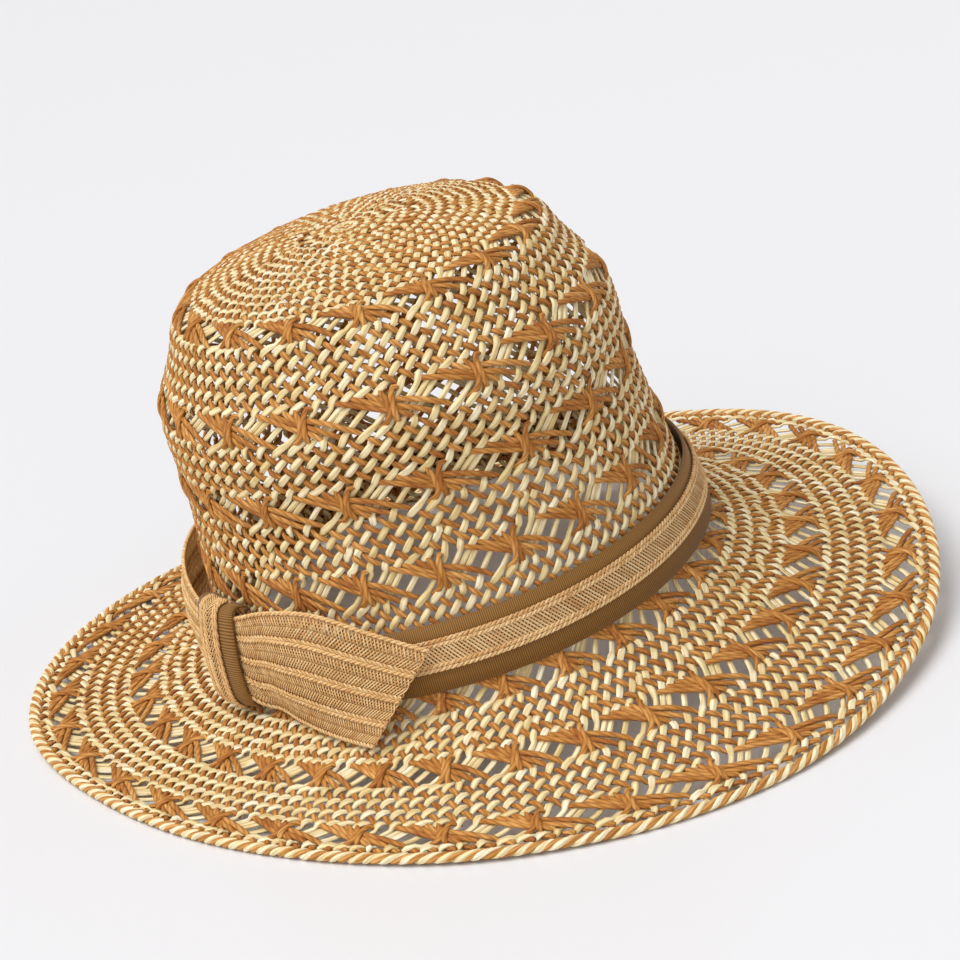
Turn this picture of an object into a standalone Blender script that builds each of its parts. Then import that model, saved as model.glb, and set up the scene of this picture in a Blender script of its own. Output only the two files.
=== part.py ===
"""Straw beach hat: openwork crown and brim woven in one, plaited rim, grosgrain band with a straw braid, and a bow."""

import math

import bmesh
import bpy
import numpy as np

# Head opening and crown, in metres
HEAD_HALF_WIDTH = 0.0849
HEAD_HALF_DEPTH = 0.1004
OVAL_TURN = math.radians(3.9)
CROWN_HEIGHT = 0.1285
CROWN_LEAN_X = -0.124
CROWN_LEAN_Y = 0.046
CROWN_SHIFT_X = 0.0030
ROOT_HEIGHT = 0.0246

# Brim, measured from the middle of the head opening
BRIM_REACH = 0.160
BRIM_LIFT = 0.020
BRIM_SAG = 0.010

# Straw wall and plaited rim
WALL = 0.0020
RIM_WIDTH = 0.0044
RIM_THICKNESS = 0.0034
RIM_RIB = 0.18
RIM_TWISTS = 34

# Trim
RIBBON_WIDTH = 0.0215
RIBBON_THICKNESS = 0.0009
RIBBON_FOOT = 0.0024
BRAID_WIDTH = 0.0105
BRAID_THICKNESS = 0.0012
BRAID_DOME = 0.0005
BRAID_FOOT = 0.0090
BAND_STANDOFF = 0.0020
BAND_STANDOFF_ANGLE = math.radians(15.0)
BAND_STANDOFF_POWER = 4
BAND_FACING_PLACE = 0.1
ROOT_BLEND = 0.4
BOW_THICKNESS = 0.0014
BOW_RIDGE = 0.0007
BOW_BRAIDS = 4
KNOT_ANGLE = math.radians(-154.0)
KNOT_WIDTH = 0.0215
KNOT_ROUNDING = 0.0012
KNOT_ROUNDED_FROM = 0.4

# Clearance between pieces that lie on each other
FIT_GAP = 0.0004

# Openwork: stars in each ring, the height of their windows, and how far a window leans in shares of a star's pitch
CROWN_STARS = 17
LOW_CROWN_STARS = 20
BRIM_STARS = 34
WINDOW_HEIGHT = 0.0054
WINDOW_LEAN = 0.125

# Facets
COLUMNS_PER_CROWN_STAR = 4
COLUMNS_PER_BRIM_STAR = 2
TIP_FACETS = 34
CROWN_FACETS = CROWN_STARS * COLUMNS_PER_CROWN_STAR
LOW_CROWN_FACETS = LOW_CROWN_STARS * COLUMNS_PER_CROWN_STAR
BRIM_FACETS = BRIM_STARS * COLUMNS_PER_BRIM_STAR
SECTION_STEPS = 24
RIM_SIDES = 6
RIM_FACETS_PER_TWIST = 3
HOOP_ROWS = 3
BOW_FRONT_STEPS = 12
BOW_BACK_STEPS = 10
KNOT_STEPS = 11
KNOT_FACETS = 5
SHARP_ANGLE = math.radians(40.0)
STEP = 1.0e-4

# Crown section from the root to the middle of the tip, in shares of the height and of the opening
SECTION_COLUMNS = ("height", "radius")
SECTION_ROWS = (
    (0.00, 1.000),
    (0.12, 0.973),
    (0.30, 0.936),
    (0.50, 0.908),
    (0.68, 0.906),
    (0.82, 0.802),
    (0.92, 0.706),
    (0.98, 0.390),
    (1.00, 0.000),
)

# Brim edge every 30 degrees from +X, in shares of the reach, the lift off the floor and the sag of the section
BRIM_COLUMNS = ("reach", "lift", "sag")
BRIM_ROWS = (
    (1.016, 0.84, 0.30),
    (1.030, 1.00, 0.45),
    (1.050, 0.58, 0.58),
    (0.985, 0.10, 0.53),
    (0.955, 0.00, 0.40),
    (0.974, 0.00, 0.35),
    (0.955, 0.04, 0.36),
    (0.899, 0.00, 0.36),
    (0.922, 0.00, 0.36),
    (1.008, 0.03, 0.38),
    (1.059, 0.00, 0.36),
    (1.035, 0.28, 0.28),
)

# Rings of the wall from the tip outwards: on the crown (up from the root) or the brim (out from the root), place as
# a share of the way, facets round the hat, and whether a row of openwork windows is centred there
RING_COLUMNS = ("on_crown", "place", "facets", "windows")
RING_ROWS = (
    (True, 0.965, TIP_FACETS, False),
    (True, 0.900, TIP_FACETS, False),
    (True, 0.830, TIP_FACETS, False),
    (True, 0.770, CROWN_FACETS, False),
    (True, 0.710, CROWN_FACETS, False),
    (True, 0.655, CROWN_FACETS, False),
    (True, 0.600, CROWN_FACETS, False),
    (True, 0.548, CROWN_FACETS, False),
    (True, 0.490, CROWN_FACETS, True),
    (True, 0.348, CROWN_FACETS, True),
    (True, 0.202, LOW_CROWN_FACETS, True),
    (True, 0.100, LOW_CROWN_FACETS, False),
    (True, 0.000, BRIM_FACETS, False),
    (False, 0.120, BRIM_FACETS, False),
    (False, 0.260, BRIM_FACETS, False),
    (False, 0.416, BRIM_FACETS, True),
    (False, 0.560, BRIM_FACETS, False),
    (False, 0.700, BRIM_FACETS, False),
    (False, 0.842, BRIM_FACETS, True),
)

# Bow halves from the knot to the end: angle from the knot in degrees at the upper and the lower edge, how far up
# the crown (+) or out on the brim (-) each edge lies and the rise off the band, both in shares of the ribbon's
# width, and the swell across as a share of the bow's own width
BOW_COLUMNS = ("upper_turn", "lower_turn", "upper_edge", "lower_edge", "rise", "swell")
BOW_FRONT_ROWS = (
    (5.0, 5.0, 1.46, 0.28, 0.10, 0.00),
    (17.0, 14.0, 1.66, -0.12, 0.09, 0.08),
    (29.0, 24.0, 1.62, -0.36, 0.05, 0.10),
    (40.5, 32.5, 1.24, -0.56, 0.02, 0.08),
    (51.5, 40.5, 0.80, -0.76, 0.00, 0.04),
)
BOW_BACK_ROWS = (
    (-5.0, -5.0, 1.46, 0.28, 0.10, 0.00),
    (-16.0, -15.0, 1.62, 0.06, 0.08, 0.07),
    (-28.0, -26.0, 1.72, -0.04, 0.05, 0.10),
    (-40.0, -37.0, 1.76, -0.12, 0.02, 0.08),
    (-52.0, -48.0, 1.74, -0.20, 0.00, 0.04),
)

# Knot wrap seen from its side: how far it stands off the straw, and its height, in shares of the ribbon's width
KNOT_COLUMNS = ("stand", "height")
KNOT_ROWS = (
    (0.09, 1.58),
    (0.28, 1.64),
    (0.44, 1.54),
    (0.51, 1.00),
    (0.50, 0.55),
    (0.45, 0.22),
    (0.34, 0.08),
    (0.27, 0.10),
)

# Plain finishes: name, linear colour and roughness
FINISH_COLUMNS = ("name", "colour", "roughness")
FINISH_ROWS = (
    ("two_colour_straw", (0.62, 0.42, 0.20, 1.0), 0.75),
    ("plaited_straw_rim", (0.55, 0.34, 0.14, 1.0), 0.75),
    ("grosgrain", (0.27, 0.16, 0.05, 1.0), 0.65),
    ("pale_straw_braid", (0.72, 0.53, 0.33, 1.0), 0.70),
    ("bow_straw_braid", (0.72, 0.53, 0.33, 1.0), 0.70),
    ("knot_grosgrain", (0.27, 0.16, 0.05, 1.0), 0.65),
    ("knot_straw_braid", (0.72, 0.53, 0.33, 1.0), 0.70),
)


def hump(share):
    """Parabola that is 0 at both ends and 1 in the middle."""
    return 4.0 * share * (1.0 - share)


def catmull_rom(p0, p1, p2, p3, t):
    """Smooth curve from p1 to p2, with t from 0 to 1."""
    linear = (p2 - p0) * t
    square = (2.0 * p0 - 5.0 * p1 + 4.0 * p2 - p3) * t**2
    cube = (3.0 * p1 - p0 - 3.0 * p2 + p3) * t**3
    return 0.5 * (2.0 * p1 + linear + square + cube)


def open_rows(rows, share):
    """Columns of a table at a share of its length, smooth through its rows."""
    table = np.array(rows, float)
    last = len(table) - 1
    first_end = 2.0 * table[0] - table[1]
    last_end = 2.0 * table[-1] - table[-2]
    padded = np.vstack([first_end, table, last_end])
    place = np.clip(np.asarray(share, float), 0.0, 1.0) * last
    index = np.minimum(place.astype(int), last - 1)
    t = (place - index)[..., None]
    return catmull_rom(padded[index], padded[index + 1], padded[index + 2], padded[index + 3], t)


def round_rows(rows, angle):
    """Columns of a table that goes once round the hat, smooth through its rows."""
    table = np.array(rows, float)
    count = len(table)
    place = np.mod(np.asarray(angle, float) / (2.0 * math.pi), 1.0) * count
    index = np.floor(place).astype(int) % count
    t = (place - np.floor(place))[..., None]
    before, here = table[(index - 1) % count], table[index]
    after, beyond = table[(index + 1) % count], table[(index + 2) % count]
    return catmull_rom(before, here, after, beyond, t)


def section_curve():
    """Crown section as a dense line: share of its length, height and radius shares."""
    rows = np.array(SECTION_ROWS)
    mirrored = rows[-2] * np.array([1.0, -1.0])
    padded = np.vstack([2.0 * rows[0] - rows[1], rows, mirrored])
    line = []
    for index in range(len(rows) - 1):
        for step in range(SECTION_STEPS):
            line.append(catmull_rom(*padded[index : index + 4], step / SECTION_STEPS))
    line.append(rows[-1])
    named = dict(zip(SECTION_COLUMNS, np.array(line).T))
    middle = 0.5 * (HEAD_HALF_WIDTH + HEAD_HALF_DEPTH)
    lengths = np.hypot(np.diff(named["height"]) * CROWN_HEIGHT, np.diff(named["radius"]) * middle)
    along = np.concatenate([[0.0], np.cumsum(lengths)])
    return along / along[-1], named, along[-1]


SECTION_SHARE, SECTION, CROWN_MERIDIAN = section_curve()


def crown_axes():
    """The leaning crown's own x, y and z directions as columns."""
    up = np.array([CROWN_LEAN_X, CROWN_LEAN_Y, 1.0])
    up /= np.linalg.norm(up)
    across = np.array([1.0, 0.0, 0.0]) - up * up[0]
    across /= np.linalg.norm(across)
    return np.column_stack([across, np.cross(up, across), up])


CROWN_AXES = crown_axes()


def raw_crown(up, angle):
    """Point of the crown's middle surface, up being the share of the way from the root to the tip."""
    up, angle = np.broadcast_arrays(np.asarray(up, float), np.asarray(angle, float))
    height = np.interp(up, SECTION_SHARE, SECTION["height"]) * CROWN_HEIGHT
    radius = np.interp(up, SECTION_SHARE, SECTION["radius"])
    x = HEAD_HALF_WIDTH * radius * np.cos(angle)
    y = HEAD_HALF_DEPTH * radius * np.sin(angle)
    turned_x = x * math.cos(OVAL_TURN) - y * math.sin(OVAL_TURN)
    turned_y = x * math.sin(OVAL_TURN) + y * math.cos(OVAL_TURN)
    local = np.stack([turned_x, turned_y, height], -1)
    return local @ CROWN_AXES.T + np.array([CROWN_SHIFT_X, 0.0, ROOT_HEIGHT])


def raw_brim(out, angle):
    """Point of the brim's middle surface, out being the share of the way from the root to the outer edge."""
    out, angle = np.broadcast_arrays(np.asarray(out, float), np.asarray(angle, float))
    root = raw_crown(0.0, angle)
    named = dict(zip(BRIM_COLUMNS, np.moveaxis(round_rows(BRIM_ROWS, angle), -1, 0)))
    edge_x = BRIM_REACH * named["reach"] * np.cos(angle)
    edge_y = BRIM_REACH * named["reach"] * np.sin(angle)
    edge_z = BRIM_LIFT * np.maximum(named["lift"], 0.0) + 0.5 * RIM_WIDTH
    edge = np.stack([edge_x, edge_y, edge_z], -1)
    point = root + (edge - root) * out[..., None]
    point[..., 2] -= BRIM_SAG * named["sag"] * hump(out)
    return point


def plan_centre():
    """Middle of the brim's bounds, which stands on the origin."""
    edge = raw_brim(1.0, np.linspace(0.0, 2.0 * math.pi, 721))
    middle = 0.5 * (edge.min(axis=0) + edge.max(axis=0))
    return np.array([middle[0], middle[1], 0.0])


CENTRE = plan_centre()


def crown_point(up, angle):
    """Point of the crown's middle surface in the part's frame."""
    return raw_crown(up, angle) - CENTRE


def brim_point(out, angle):
    """Point of the brim's middle surface in the part's frame."""
    return raw_brim(out, angle) - CENTRE


def outward(point_of, place, angle, sign):
    """Unit normal on the outer side of a surface."""
    along = point_of(place + STEP, angle) - point_of(place, angle)
    around = point_of(place, angle + STEP) - point_of(place, angle)
    normal = np.cross(around, along) * sign
    return normal / np.linalg.norm(normal, axis=-1, keepdims=True)


def off_crown(height, angle, stand):
    """Point that stands off the crown's middle surface, at a height in metres up its side."""
    height = np.asarray(height, float)
    up = np.maximum(height, 0.0) / CROWN_MERIDIAN
    below = np.minimum(height, 0.0)[..., None] * CROWN_AXES[:, 2]
    stand = np.asarray(stand, float)[..., None]
    return crown_point(up, angle) + outward(crown_point, up, angle, 1.0) * stand + below


def brim_width(angle):
    """Length of the brim from the root to its edge."""
    return np.linalg.norm(brim_point(1.0, angle) - brim_point(0.0, angle), axis=-1)


def off_brim(distance, angle, stand):
    """Point that stands off the brim's middle surface, at a distance in metres out from the root."""
    out = np.asarray(distance, float) / brim_width(angle)
    stand = np.asarray(stand, float)[..., None]
    return brim_point(out, angle) + outward(brim_point, out, angle, -1.0) * stand


def off_hat(place, angle, crown_stand, brim_stand):
    """Point off the crown where place is positive and off the brim where it is negative, blended at the root."""
    blend = np.clip(0.5 + place / (ROOT_BLEND * RIBBON_WIDTH), 0.0, 1.0)[..., None]
    on_crown = off_crown(np.maximum(place, 0.0), angle, crown_stand)
    on_brim = off_brim(np.maximum(-place, 0.0), angle, brim_stand)
    return on_crown * blend + on_brim * (1.0 - blend)


def ring_angles(count, turn=0.0):
    """Angles of a ring's columns, turned by a share of a column."""
    return (np.arange(count) + turn) * 2.0 * math.pi / count


def band_stand(angle):
    """How far the band stands away from the crown where it is loose."""
    facing = np.maximum(np.cos(np.asarray(angle) - BAND_STANDOFF_ANGLE), 0.0)
    return BAND_STANDOFF * facing**BAND_STANDOFF_POWER


def finishes():
    """Plain Principled materials by name."""
    made = {}
    for row in FINISH_ROWS:
        finish = dict(zip(FINISH_COLUMNS, row))
        plain = bpy.data.materials.new(finish["name"])
        plain.use_nodes = True
        shader = plain.node_tree.nodes["Principled BSDF"]
        shader.inputs["Base Color"].default_value = finish["colour"]
        shader.inputs["Roughness"].default_value = finish["roughness"]
        shader.inputs["Metallic"].default_value = 0.0
        made[finish["name"]] = plain
    return made


def add_object(name, built, surface, thickness=None):
    """Object from a bmesh, thickened on both sides of its surface when a thickness is given."""
    mesh = bpy.data.meshes.new(name)
    built.to_mesh(mesh)
    built.free()
    mesh.materials.append(surface)
    mesh.shade_smooth()
    mesh.set_sharp_from_angle(angle=SHARP_ANGLE)
    made = bpy.data.objects.new(name, mesh)
    bpy.context.scene.collection.objects.link(made)
    if thickness:
        wall = made.modifiers.new("wall", "SOLIDIFY")
        wall.thickness = thickness
        wall.offset = 0.0
        wall.use_even_offset = True
        wall.use_quality_normals = True
    return made


def add_ring(built, points):
    """Vertices of one closed ring."""
    return [built.verts.new(point) for point in points]


def join_equal(built, inner, outer, windows=()):
    """Faces between two rings with as many vertices, without the columns in windows."""
    count = len(inner)
    for column in range(count):
        if column in windows:
            continue
        after = (column + 1) % count
        built.faces.new((inner[column], outer[column], outer[after], inner[after]))


def join_unequal(built, inner, outer, inner_angles, outer_angles):
    """Triangles between two rings with different counts, each the shorter step round."""
    inner_count, outer_count = len(inner), len(outer)
    inner_at, outer_at = 0, 0
    while inner_at < inner_count or outer_at < outer_count:
        here_in, here_out = inner[inner_at % inner_count], outer[outer_at % outer_count]
        next_inner = inner_angles[inner_at + 1] if inner_at < inner_count else math.inf
        next_outer = outer_angles[outer_at + 1] if outer_at < outer_count else math.inf
        if next_inner < next_outer:
            built.faces.new((here_in, here_out, inner[(inner_at + 1) % inner_count]))
            inner_at += 1
        else:
            built.faces.new((here_in, here_out, outer[(outer_at + 1) % outer_count]))
            outer_at += 1


def columns_per_star(on_crown):
    """Facets that one star of the openwork takes."""
    return COLUMNS_PER_CROWN_STAR if on_crown else COLUMNS_PER_BRIM_STAR


def body_rows():
    """Rings of the wall from the tip outwards: on the crown, place, facets, turn in facets, windows begin here."""
    rows = []
    turn, last_facets = 0.0, None
    for row in RING_ROWS:
        ring = dict(zip(RING_COLUMNS, row))
        on_crown, place, facets = ring["on_crown"], ring["place"], ring["facets"]
        if facets != last_facets:
            turn, last_facets = 0.0, facets
        if not ring["windows"]:
            rows.append((on_crown, place, facets, turn, False))
            continue
        length = CROWN_MERIDIAN if on_crown else -brim_width(0.0)
        half = 0.5 * WINDOW_HEIGHT / length
        rows.append((on_crown, place + half, facets, turn, True))
        turn += WINDOW_LEAN * columns_per_star(on_crown)
        rows.append((on_crown, place - half, facets, turn, False))
    return rows, turn


def build_body(surface):
    """Crown and brim, one wall woven from the tip to the plaited rim, with the openwork windows left out."""
    built = bmesh.new()
    rows, last_turn = body_rows()
    tip = built.verts.new(crown_point(1.0, 0.0))
    previous = None
    for on_crown, place, facets, turn, windows in rows:
        angles = ring_angles(facets, turn)
        points = crown_point(place, angles) if on_crown else brim_point(place, angles)
        ring = add_ring(built, points)
        if previous is None:
            for column in range(facets):
                built.faces.new((tip, ring[column], ring[(column + 1) % facets]))
        elif len(previous[0]) == facets:
            join_equal(built, previous[0], ring, previous[2])
        else:
            ends = np.append(previous[1], previous[1][0] + 2.0 * math.pi)
            new_ends = np.append(angles, angles[0] + 2.0 * math.pi)
            join_unequal(built, previous[0], ring, ends, new_ends)
        left_out = ()
        if windows:
            per_star = columns_per_star(on_crown)
            left_out = {column for column in range(facets) if column % per_star < per_star // 2}
        previous = (ring, angles, left_out)
    angles = ring_angles(len(previous[0]), last_turn)
    edge = 1.0 - (RIM_WIDTH + FIT_GAP) / brim_width(angles)
    join_equal(built, previous[0], add_ring(built, brim_point(edge, angles)), previous[2])
    bmesh.ops.recalc_face_normals(built, faces=built.faces[:])
    return add_object("crown_and_brim", built, surface, WALL)


def build_rim(surface):
    """Plaited rim: a rope of oval section along the edge, ribbed above and flat below, where it meets the floor."""
    built = bmesh.new()
    count = RIM_TWISTS * RIM_FACETS_PER_TWIST
    rings = []
    for index, angle in enumerate(ring_angles(count)):
        middle = 1.0 - 0.5 * RIM_WIDTH / brim_width(angle)
        centre = brim_point(middle, angle)
        lowest = brim_point(1.0, angle)[2] - 0.5 * RIM_WIDTH
        along = brim_point(middle, angle + STEP) - centre
        side = np.cross(along, np.array([0.0, 0.0, 1.0]))
        side /= np.linalg.norm(side)
        rib = 1.0 + RIM_RIB * math.cos(2.0 * math.pi * index / RIM_FACETS_PER_TWIST)
        ring = []
        for corner in range(RIM_SIDES):
            around = 2.0 * math.pi * corner / RIM_SIDES
            point = centre + side * (0.5 * RIM_WIDTH * math.cos(around))
            high = 0.5 * RIM_THICKNESS * math.sin(around) / math.sin(math.pi / 3.0)
            point[2] = lowest + 0.5 * RIM_THICKNESS + high * (rib if high > 0.0 else 1.0)
            ring.append(built.verts.new(point))
        rings.append(ring)
    for index, ring in enumerate(rings):
        join_equal(built, ring, rings[(index + 1) % count])
    bmesh.ops.recalc_face_normals(built, faces=built.faces[:])
    return add_object("rim_plait", built, surface)


def build_hoop(name, foot, width, inner_stand, thickness, dome, surface):
    """Strip that goes once round the crown's foot."""
    built = bmesh.new()
    angles = ring_angles(CROWN_FACETS)
    previous = None
    for share in np.linspace(0.0, 1.0, HOOP_ROWS):
        swell = dome * math.sin(math.pi * share)
        stand = inner_stand + 0.5 * thickness + swell + band_stand(angles)
        ring = add_ring(built, off_crown(foot + width * share, angles, stand))
        if previous:
            join_equal(built, ring, previous)
        previous = ring
    bmesh.ops.recalc_face_normals(built, faces=built.faces[:])
    return add_object(name, built, surface, thickness)


def strip_faces(built, grid):
    """Quads over a grid of vertices."""
    for row in range(len(grid) - 1):
        for column in range(len(grid[0]) - 1):
            corners = (grid[row][column], grid[row + 1][column])
            far = (grid[row + 1][column + 1], grid[row][column + 1])
            built.faces.new(corners + far)


def face_outwards(built):
    """Turn a strip's faces so that most look away from the hat's middle."""
    built.normal_update()
    total = 0.0
    for face in built.faces:
        centre = face.calc_center_median()
        total += face.normal.x * centre.x + face.normal.y * centre.y
    if total < 0.0:
        bmesh.ops.reverse_faces(built, faces=built.faces[:])


BAND_FACE = 0.5 * WALL + FIT_GAP + RIBBON_THICKNESS
BRAID_FACE = BAND_FACE + FIT_GAP + BRAID_THICKNESS + BRAID_DOME
BOW_STAND = BRAID_FACE + FIT_GAP + 0.5 * BOW_THICKNESS + BOW_RIDGE
BOW_BRIM_STAND = 0.5 * WALL + FIT_GAP + 0.5 * BOW_THICKNESS + BOW_RIDGE


def build_bow_half(name, rows, along_count, surface):
    """One side of the bow: braids sewn side by side, narrow at the knot and spread at the cut end."""
    built = bmesh.new()
    across_count = 2 * BOW_BRAIDS
    grid = []
    for step in range(along_count + 1):
        named = dict(zip(BOW_COLUMNS, open_rows(rows, step / along_count)))
        upper_angle = KNOT_ANGLE + math.radians(named["upper_turn"])
        lower_angle = KNOT_ANGLE + math.radians(named["lower_turn"])
        stand = BOW_STAND + named["rise"] * RIBBON_WIDTH
        top = off_hat(named["upper_edge"] * RIBBON_WIDTH, upper_angle, stand, BOW_BRIM_STAND)
        bottom = off_hat(named["lower_edge"] * RIBBON_WIDTH, lower_angle, stand, BOW_BRIM_STAND)
        away = outward(crown_point, BAND_FACING_PLACE, 0.5 * (upper_angle + lower_angle), 1.0)
        line = []
        for index in range(across_count + 1):
            share = index / across_count
            ridge = BOW_RIDGE * (1.0 if index % 2 else -1.0)
            bulge = named["swell"] * np.linalg.norm(bottom - top) * hump(share)
            line.append(built.verts.new(top + (bottom - top) * share + away * (ridge + bulge)))
        grid.append(line)
    strip_faces(built, grid)
    face_outwards(built)
    return add_object(name, built, surface, BOW_THICKNESS)


def knot_path(raise_by):
    """Side view of the knot's wrap, raised off itself, in metres, with the columns of its table."""
    line = open_rows(KNOT_ROWS, np.linspace(0.0, 1.0, KNOT_STEPS)) * RIBBON_WIDTH
    tangent = np.gradient(line, axis=0)
    tangent /= np.linalg.norm(tangent, axis=1, keepdims=True)
    normal = np.stack([-tangent[:, 1], tangent[:, 0]], 1)
    middle = line.mean(axis=0)
    if ((line - middle) * normal).sum() < 0.0:
        normal = -normal
    return line + normal * raise_by


def build_knot_strip(name, width, raise_by, ends, thickness, surface):
    """Strip wrapped over the bow's middle, from above the band to below it."""
    built = bmesh.new()
    grid = []
    for station in knot_path(raise_by)[ends : KNOT_STEPS - ends]:
        named = dict(zip(KNOT_COLUMNS, station))
        rounded = min(1.0, named["stand"] / (KNOT_ROUNDED_FROM * RIBBON_WIDTH))
        row = []
        for share in np.linspace(-0.5, 0.5, KNOT_FACETS):
            angle = KNOT_ANGLE + share * width / HEAD_HALF_WIDTH
            swing = KNOT_ROUNDING * (2.0 * share * width / KNOT_WIDTH) ** 2
            stand = 0.5 * WALL + FIT_GAP + named["stand"] - swing * rounded
            row.append(built.verts.new(off_crown(named["height"], angle, stand)))
        grid.append(row)
    strip_faces(built, grid)
    face_outwards(built)
    return add_object(name, built, surface, thickness)


def main():
    for old in list(bpy.data.objects):
        bpy.data.objects.remove(old)
    finish = finishes()
    build_body(finish["two_colour_straw"])
    build_rim(finish["plaited_straw_rim"])
    under = 0.5 * WALL + FIT_GAP
    build_hoop("band_ribbon", RIBBON_FOOT, RIBBON_WIDTH, under, RIBBON_THICKNESS, 0.0, finish["grosgrain"])
    over = BAND_FACE + FIT_GAP
    build_hoop("band_braid", BRAID_FOOT, BRAID_WIDTH, over, BRAID_THICKNESS, BRAID_DOME, finish["pale_straw_braid"])
    build_bow_half("bow_front", BOW_FRONT_ROWS, BOW_FRONT_STEPS, finish["bow_straw_braid"])
    build_bow_half("bow_back", BOW_BACK_ROWS, BOW_BACK_STEPS, finish["bow_straw_braid"])
    build_knot_strip("knot_ribbon", KNOT_WIDTH, 0.0, 0, RIBBON_THICKNESS, finish["knot_grosgrain"])
    over = 0.5 * RIBBON_THICKNESS + FIT_GAP + 0.5 * BRAID_THICKNESS
    build_knot_strip("knot_braid", BRAID_WIDTH, over, 1, BRAID_THICKNESS, finish["knot_straw_braid"])


main()
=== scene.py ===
"""Straw beach hat: openwork star weave in two strands, plaited rim, grosgrain band with a straw braid, and a bow."""

import math

import bmesh
import bpy
import numpy as np
from mathutils import Matrix, Vector


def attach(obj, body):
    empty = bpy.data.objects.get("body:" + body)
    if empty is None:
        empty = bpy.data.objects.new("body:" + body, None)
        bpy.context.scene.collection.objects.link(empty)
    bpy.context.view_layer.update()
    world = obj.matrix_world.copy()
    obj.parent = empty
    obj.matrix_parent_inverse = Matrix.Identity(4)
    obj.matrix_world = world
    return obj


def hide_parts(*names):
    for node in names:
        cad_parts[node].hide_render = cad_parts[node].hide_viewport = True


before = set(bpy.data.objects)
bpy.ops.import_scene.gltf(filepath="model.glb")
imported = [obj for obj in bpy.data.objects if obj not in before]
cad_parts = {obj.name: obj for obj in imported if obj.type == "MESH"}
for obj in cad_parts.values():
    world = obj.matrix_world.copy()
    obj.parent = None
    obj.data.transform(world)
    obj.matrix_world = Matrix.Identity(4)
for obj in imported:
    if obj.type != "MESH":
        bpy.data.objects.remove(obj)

bl_info = {
    "name": "Straw beach hat",
    "version": (1, 0, 0),
    "blender": (4, 5, 0),
    "location": "View3D > Sidebar > Beach hat",
    "description": "Weaves a two-colour straw hat with its plaited rim, band and bow over the fixed model",
    "category": "Add Mesh",
}

# Head opening and crown, in metres, as in the solids
HEAD_HALF_WIDTH = 0.0849
HEAD_HALF_DEPTH = 0.1004
OVAL_TURN = math.radians(3.9)
CROWN_HEIGHT = 0.1285
CROWN_LEAN_X = -0.124
CROWN_LEAN_Y = 0.046
CROWN_SHIFT_X = 0.0030
ROOT_HEIGHT = 0.0246

# Brim
BRIM_REACH = 0.160
BRIM_LIFT = 0.020
BRIM_SAG = 0.010
WALL = 0.0020
RIM_WIDTH = 0.0044
RIM_THICKNESS = 0.0034

# Trim
RIBBON_WIDTH = 0.0215
RIBBON_THICKNESS = 0.0009
RIBBON_FOOT = 0.0024
BRAID_WIDTH = 0.0105
BRAID_THICKNESS = 0.0012
BRAID_DOME = 0.0005
BRAID_FOOT = 0.0090
BAND_STANDOFF = 0.0020
BAND_STANDOFF_ANGLE = math.radians(15.0)
BAND_STANDOFF_POWER = 4
BOW_THICKNESS = 0.0014
BOW_RIDGE = 0.0007
BOW_BRAIDS = 4
KNOT_ANGLE = math.radians(-154.0)
KNOT_WIDTH = 0.0215
KNOT_ROUNDING = 0.0012
KNOT_ROUNDED_FROM = 0.4
FIT_GAP = 0.0004
# Where the trim goes over from the crown to the brim: the width of that in ribbon widths
ROOT_BLEND = 0.4

# Crown section from the root to the middle of the tip: height share, radius share
SECTION_ROWS = (
    (0.00, 1.000),
    (0.12, 0.973),
    (0.30, 0.936),
    (0.50, 0.908),
    (0.68, 0.906),
    (0.82, 0.802),
    (0.92, 0.706),
    (0.98, 0.390),
    (1.00, 0.000),
)

# Brim edge every 30 degrees from +X: reach, lift and sag shares
BRIM_ROWS = (
    (1.016, 0.84, 0.30),
    (1.030, 1.00, 0.45),
    (1.050, 0.58, 0.58),
    (0.985, 0.10, 0.53),
    (0.955, 0.00, 0.40),
    (0.974, 0.00, 0.35),
    (0.955, 0.04, 0.36),
    (0.899, 0.00, 0.36),
    (0.922, 0.00, 0.36),
    (1.008, 0.03, 0.38),
    (1.059, 0.00, 0.36),
    (1.035, 0.28, 0.28),
)

# Bow halves from the knot to the end: turn of the upper and lower edge in degrees, height of each edge and rise
# off the band in ribbon widths, swell across
BOW_FRONT_ROWS = (
    (5.0, 5.0, 1.46, 0.28, 0.10, 0.00),
    (17.0, 14.0, 1.66, -0.12, 0.09, 0.08),
    (29.0, 24.0, 1.62, -0.36, 0.05, 0.10),
    (40.5, 32.5, 1.24, -0.56, 0.02, 0.08),
    (51.5, 40.5, 0.80, -0.76, 0.00, 0.04),
)
BOW_BACK_ROWS = (
    (-5.0, -5.0, 1.46, 0.28, 0.10, 0.00),
    (-16.0, -15.0, 1.62, 0.06, 0.08, 0.07),
    (-28.0, -26.0, 1.72, -0.04, 0.05, 0.10),
    (-40.0, -37.0, 1.76, -0.12, 0.02, 0.08),
    (-52.0, -48.0, 1.74, -0.20, 0.00, 0.04),
)

# Side view of the knot's wrap in ribbon widths: stand off the straw, height
KNOT_ROWS = (
    (0.09, 1.58),
    (0.28, 1.64),
    (0.44, 1.54),
    (0.51, 1.00),
    (0.50, 0.55),
    (0.45, 0.22),
    (0.34, 0.08),
    (0.27, 0.10),
)

# Weave rows (one crossing high) against the place on the wall: 1 is the middle of the tip, 0 the root of the brim
# and below 0 out over the brim
ROW_STOPS = (
    (0.0, 1.000),
    (30.5, 0.654),
    (43.5, 0.490),
    (54.5, 0.348),
    (65.5, 0.202),
    (80.0, 0.000),
    (91.5, -0.416),
    (102.5, -0.842),
    (107.0, -0.966),
)

# Zones from the tip outwards: first row, strands of each colour
ZONES = (
    (2, 17),
    (7, 34),
    (12, 51),
    (18, 68),
    (24, 85),
    (60, 102),
    (72, 136),
    (86, 170),
)
LAST_ROW = 106.0
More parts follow.
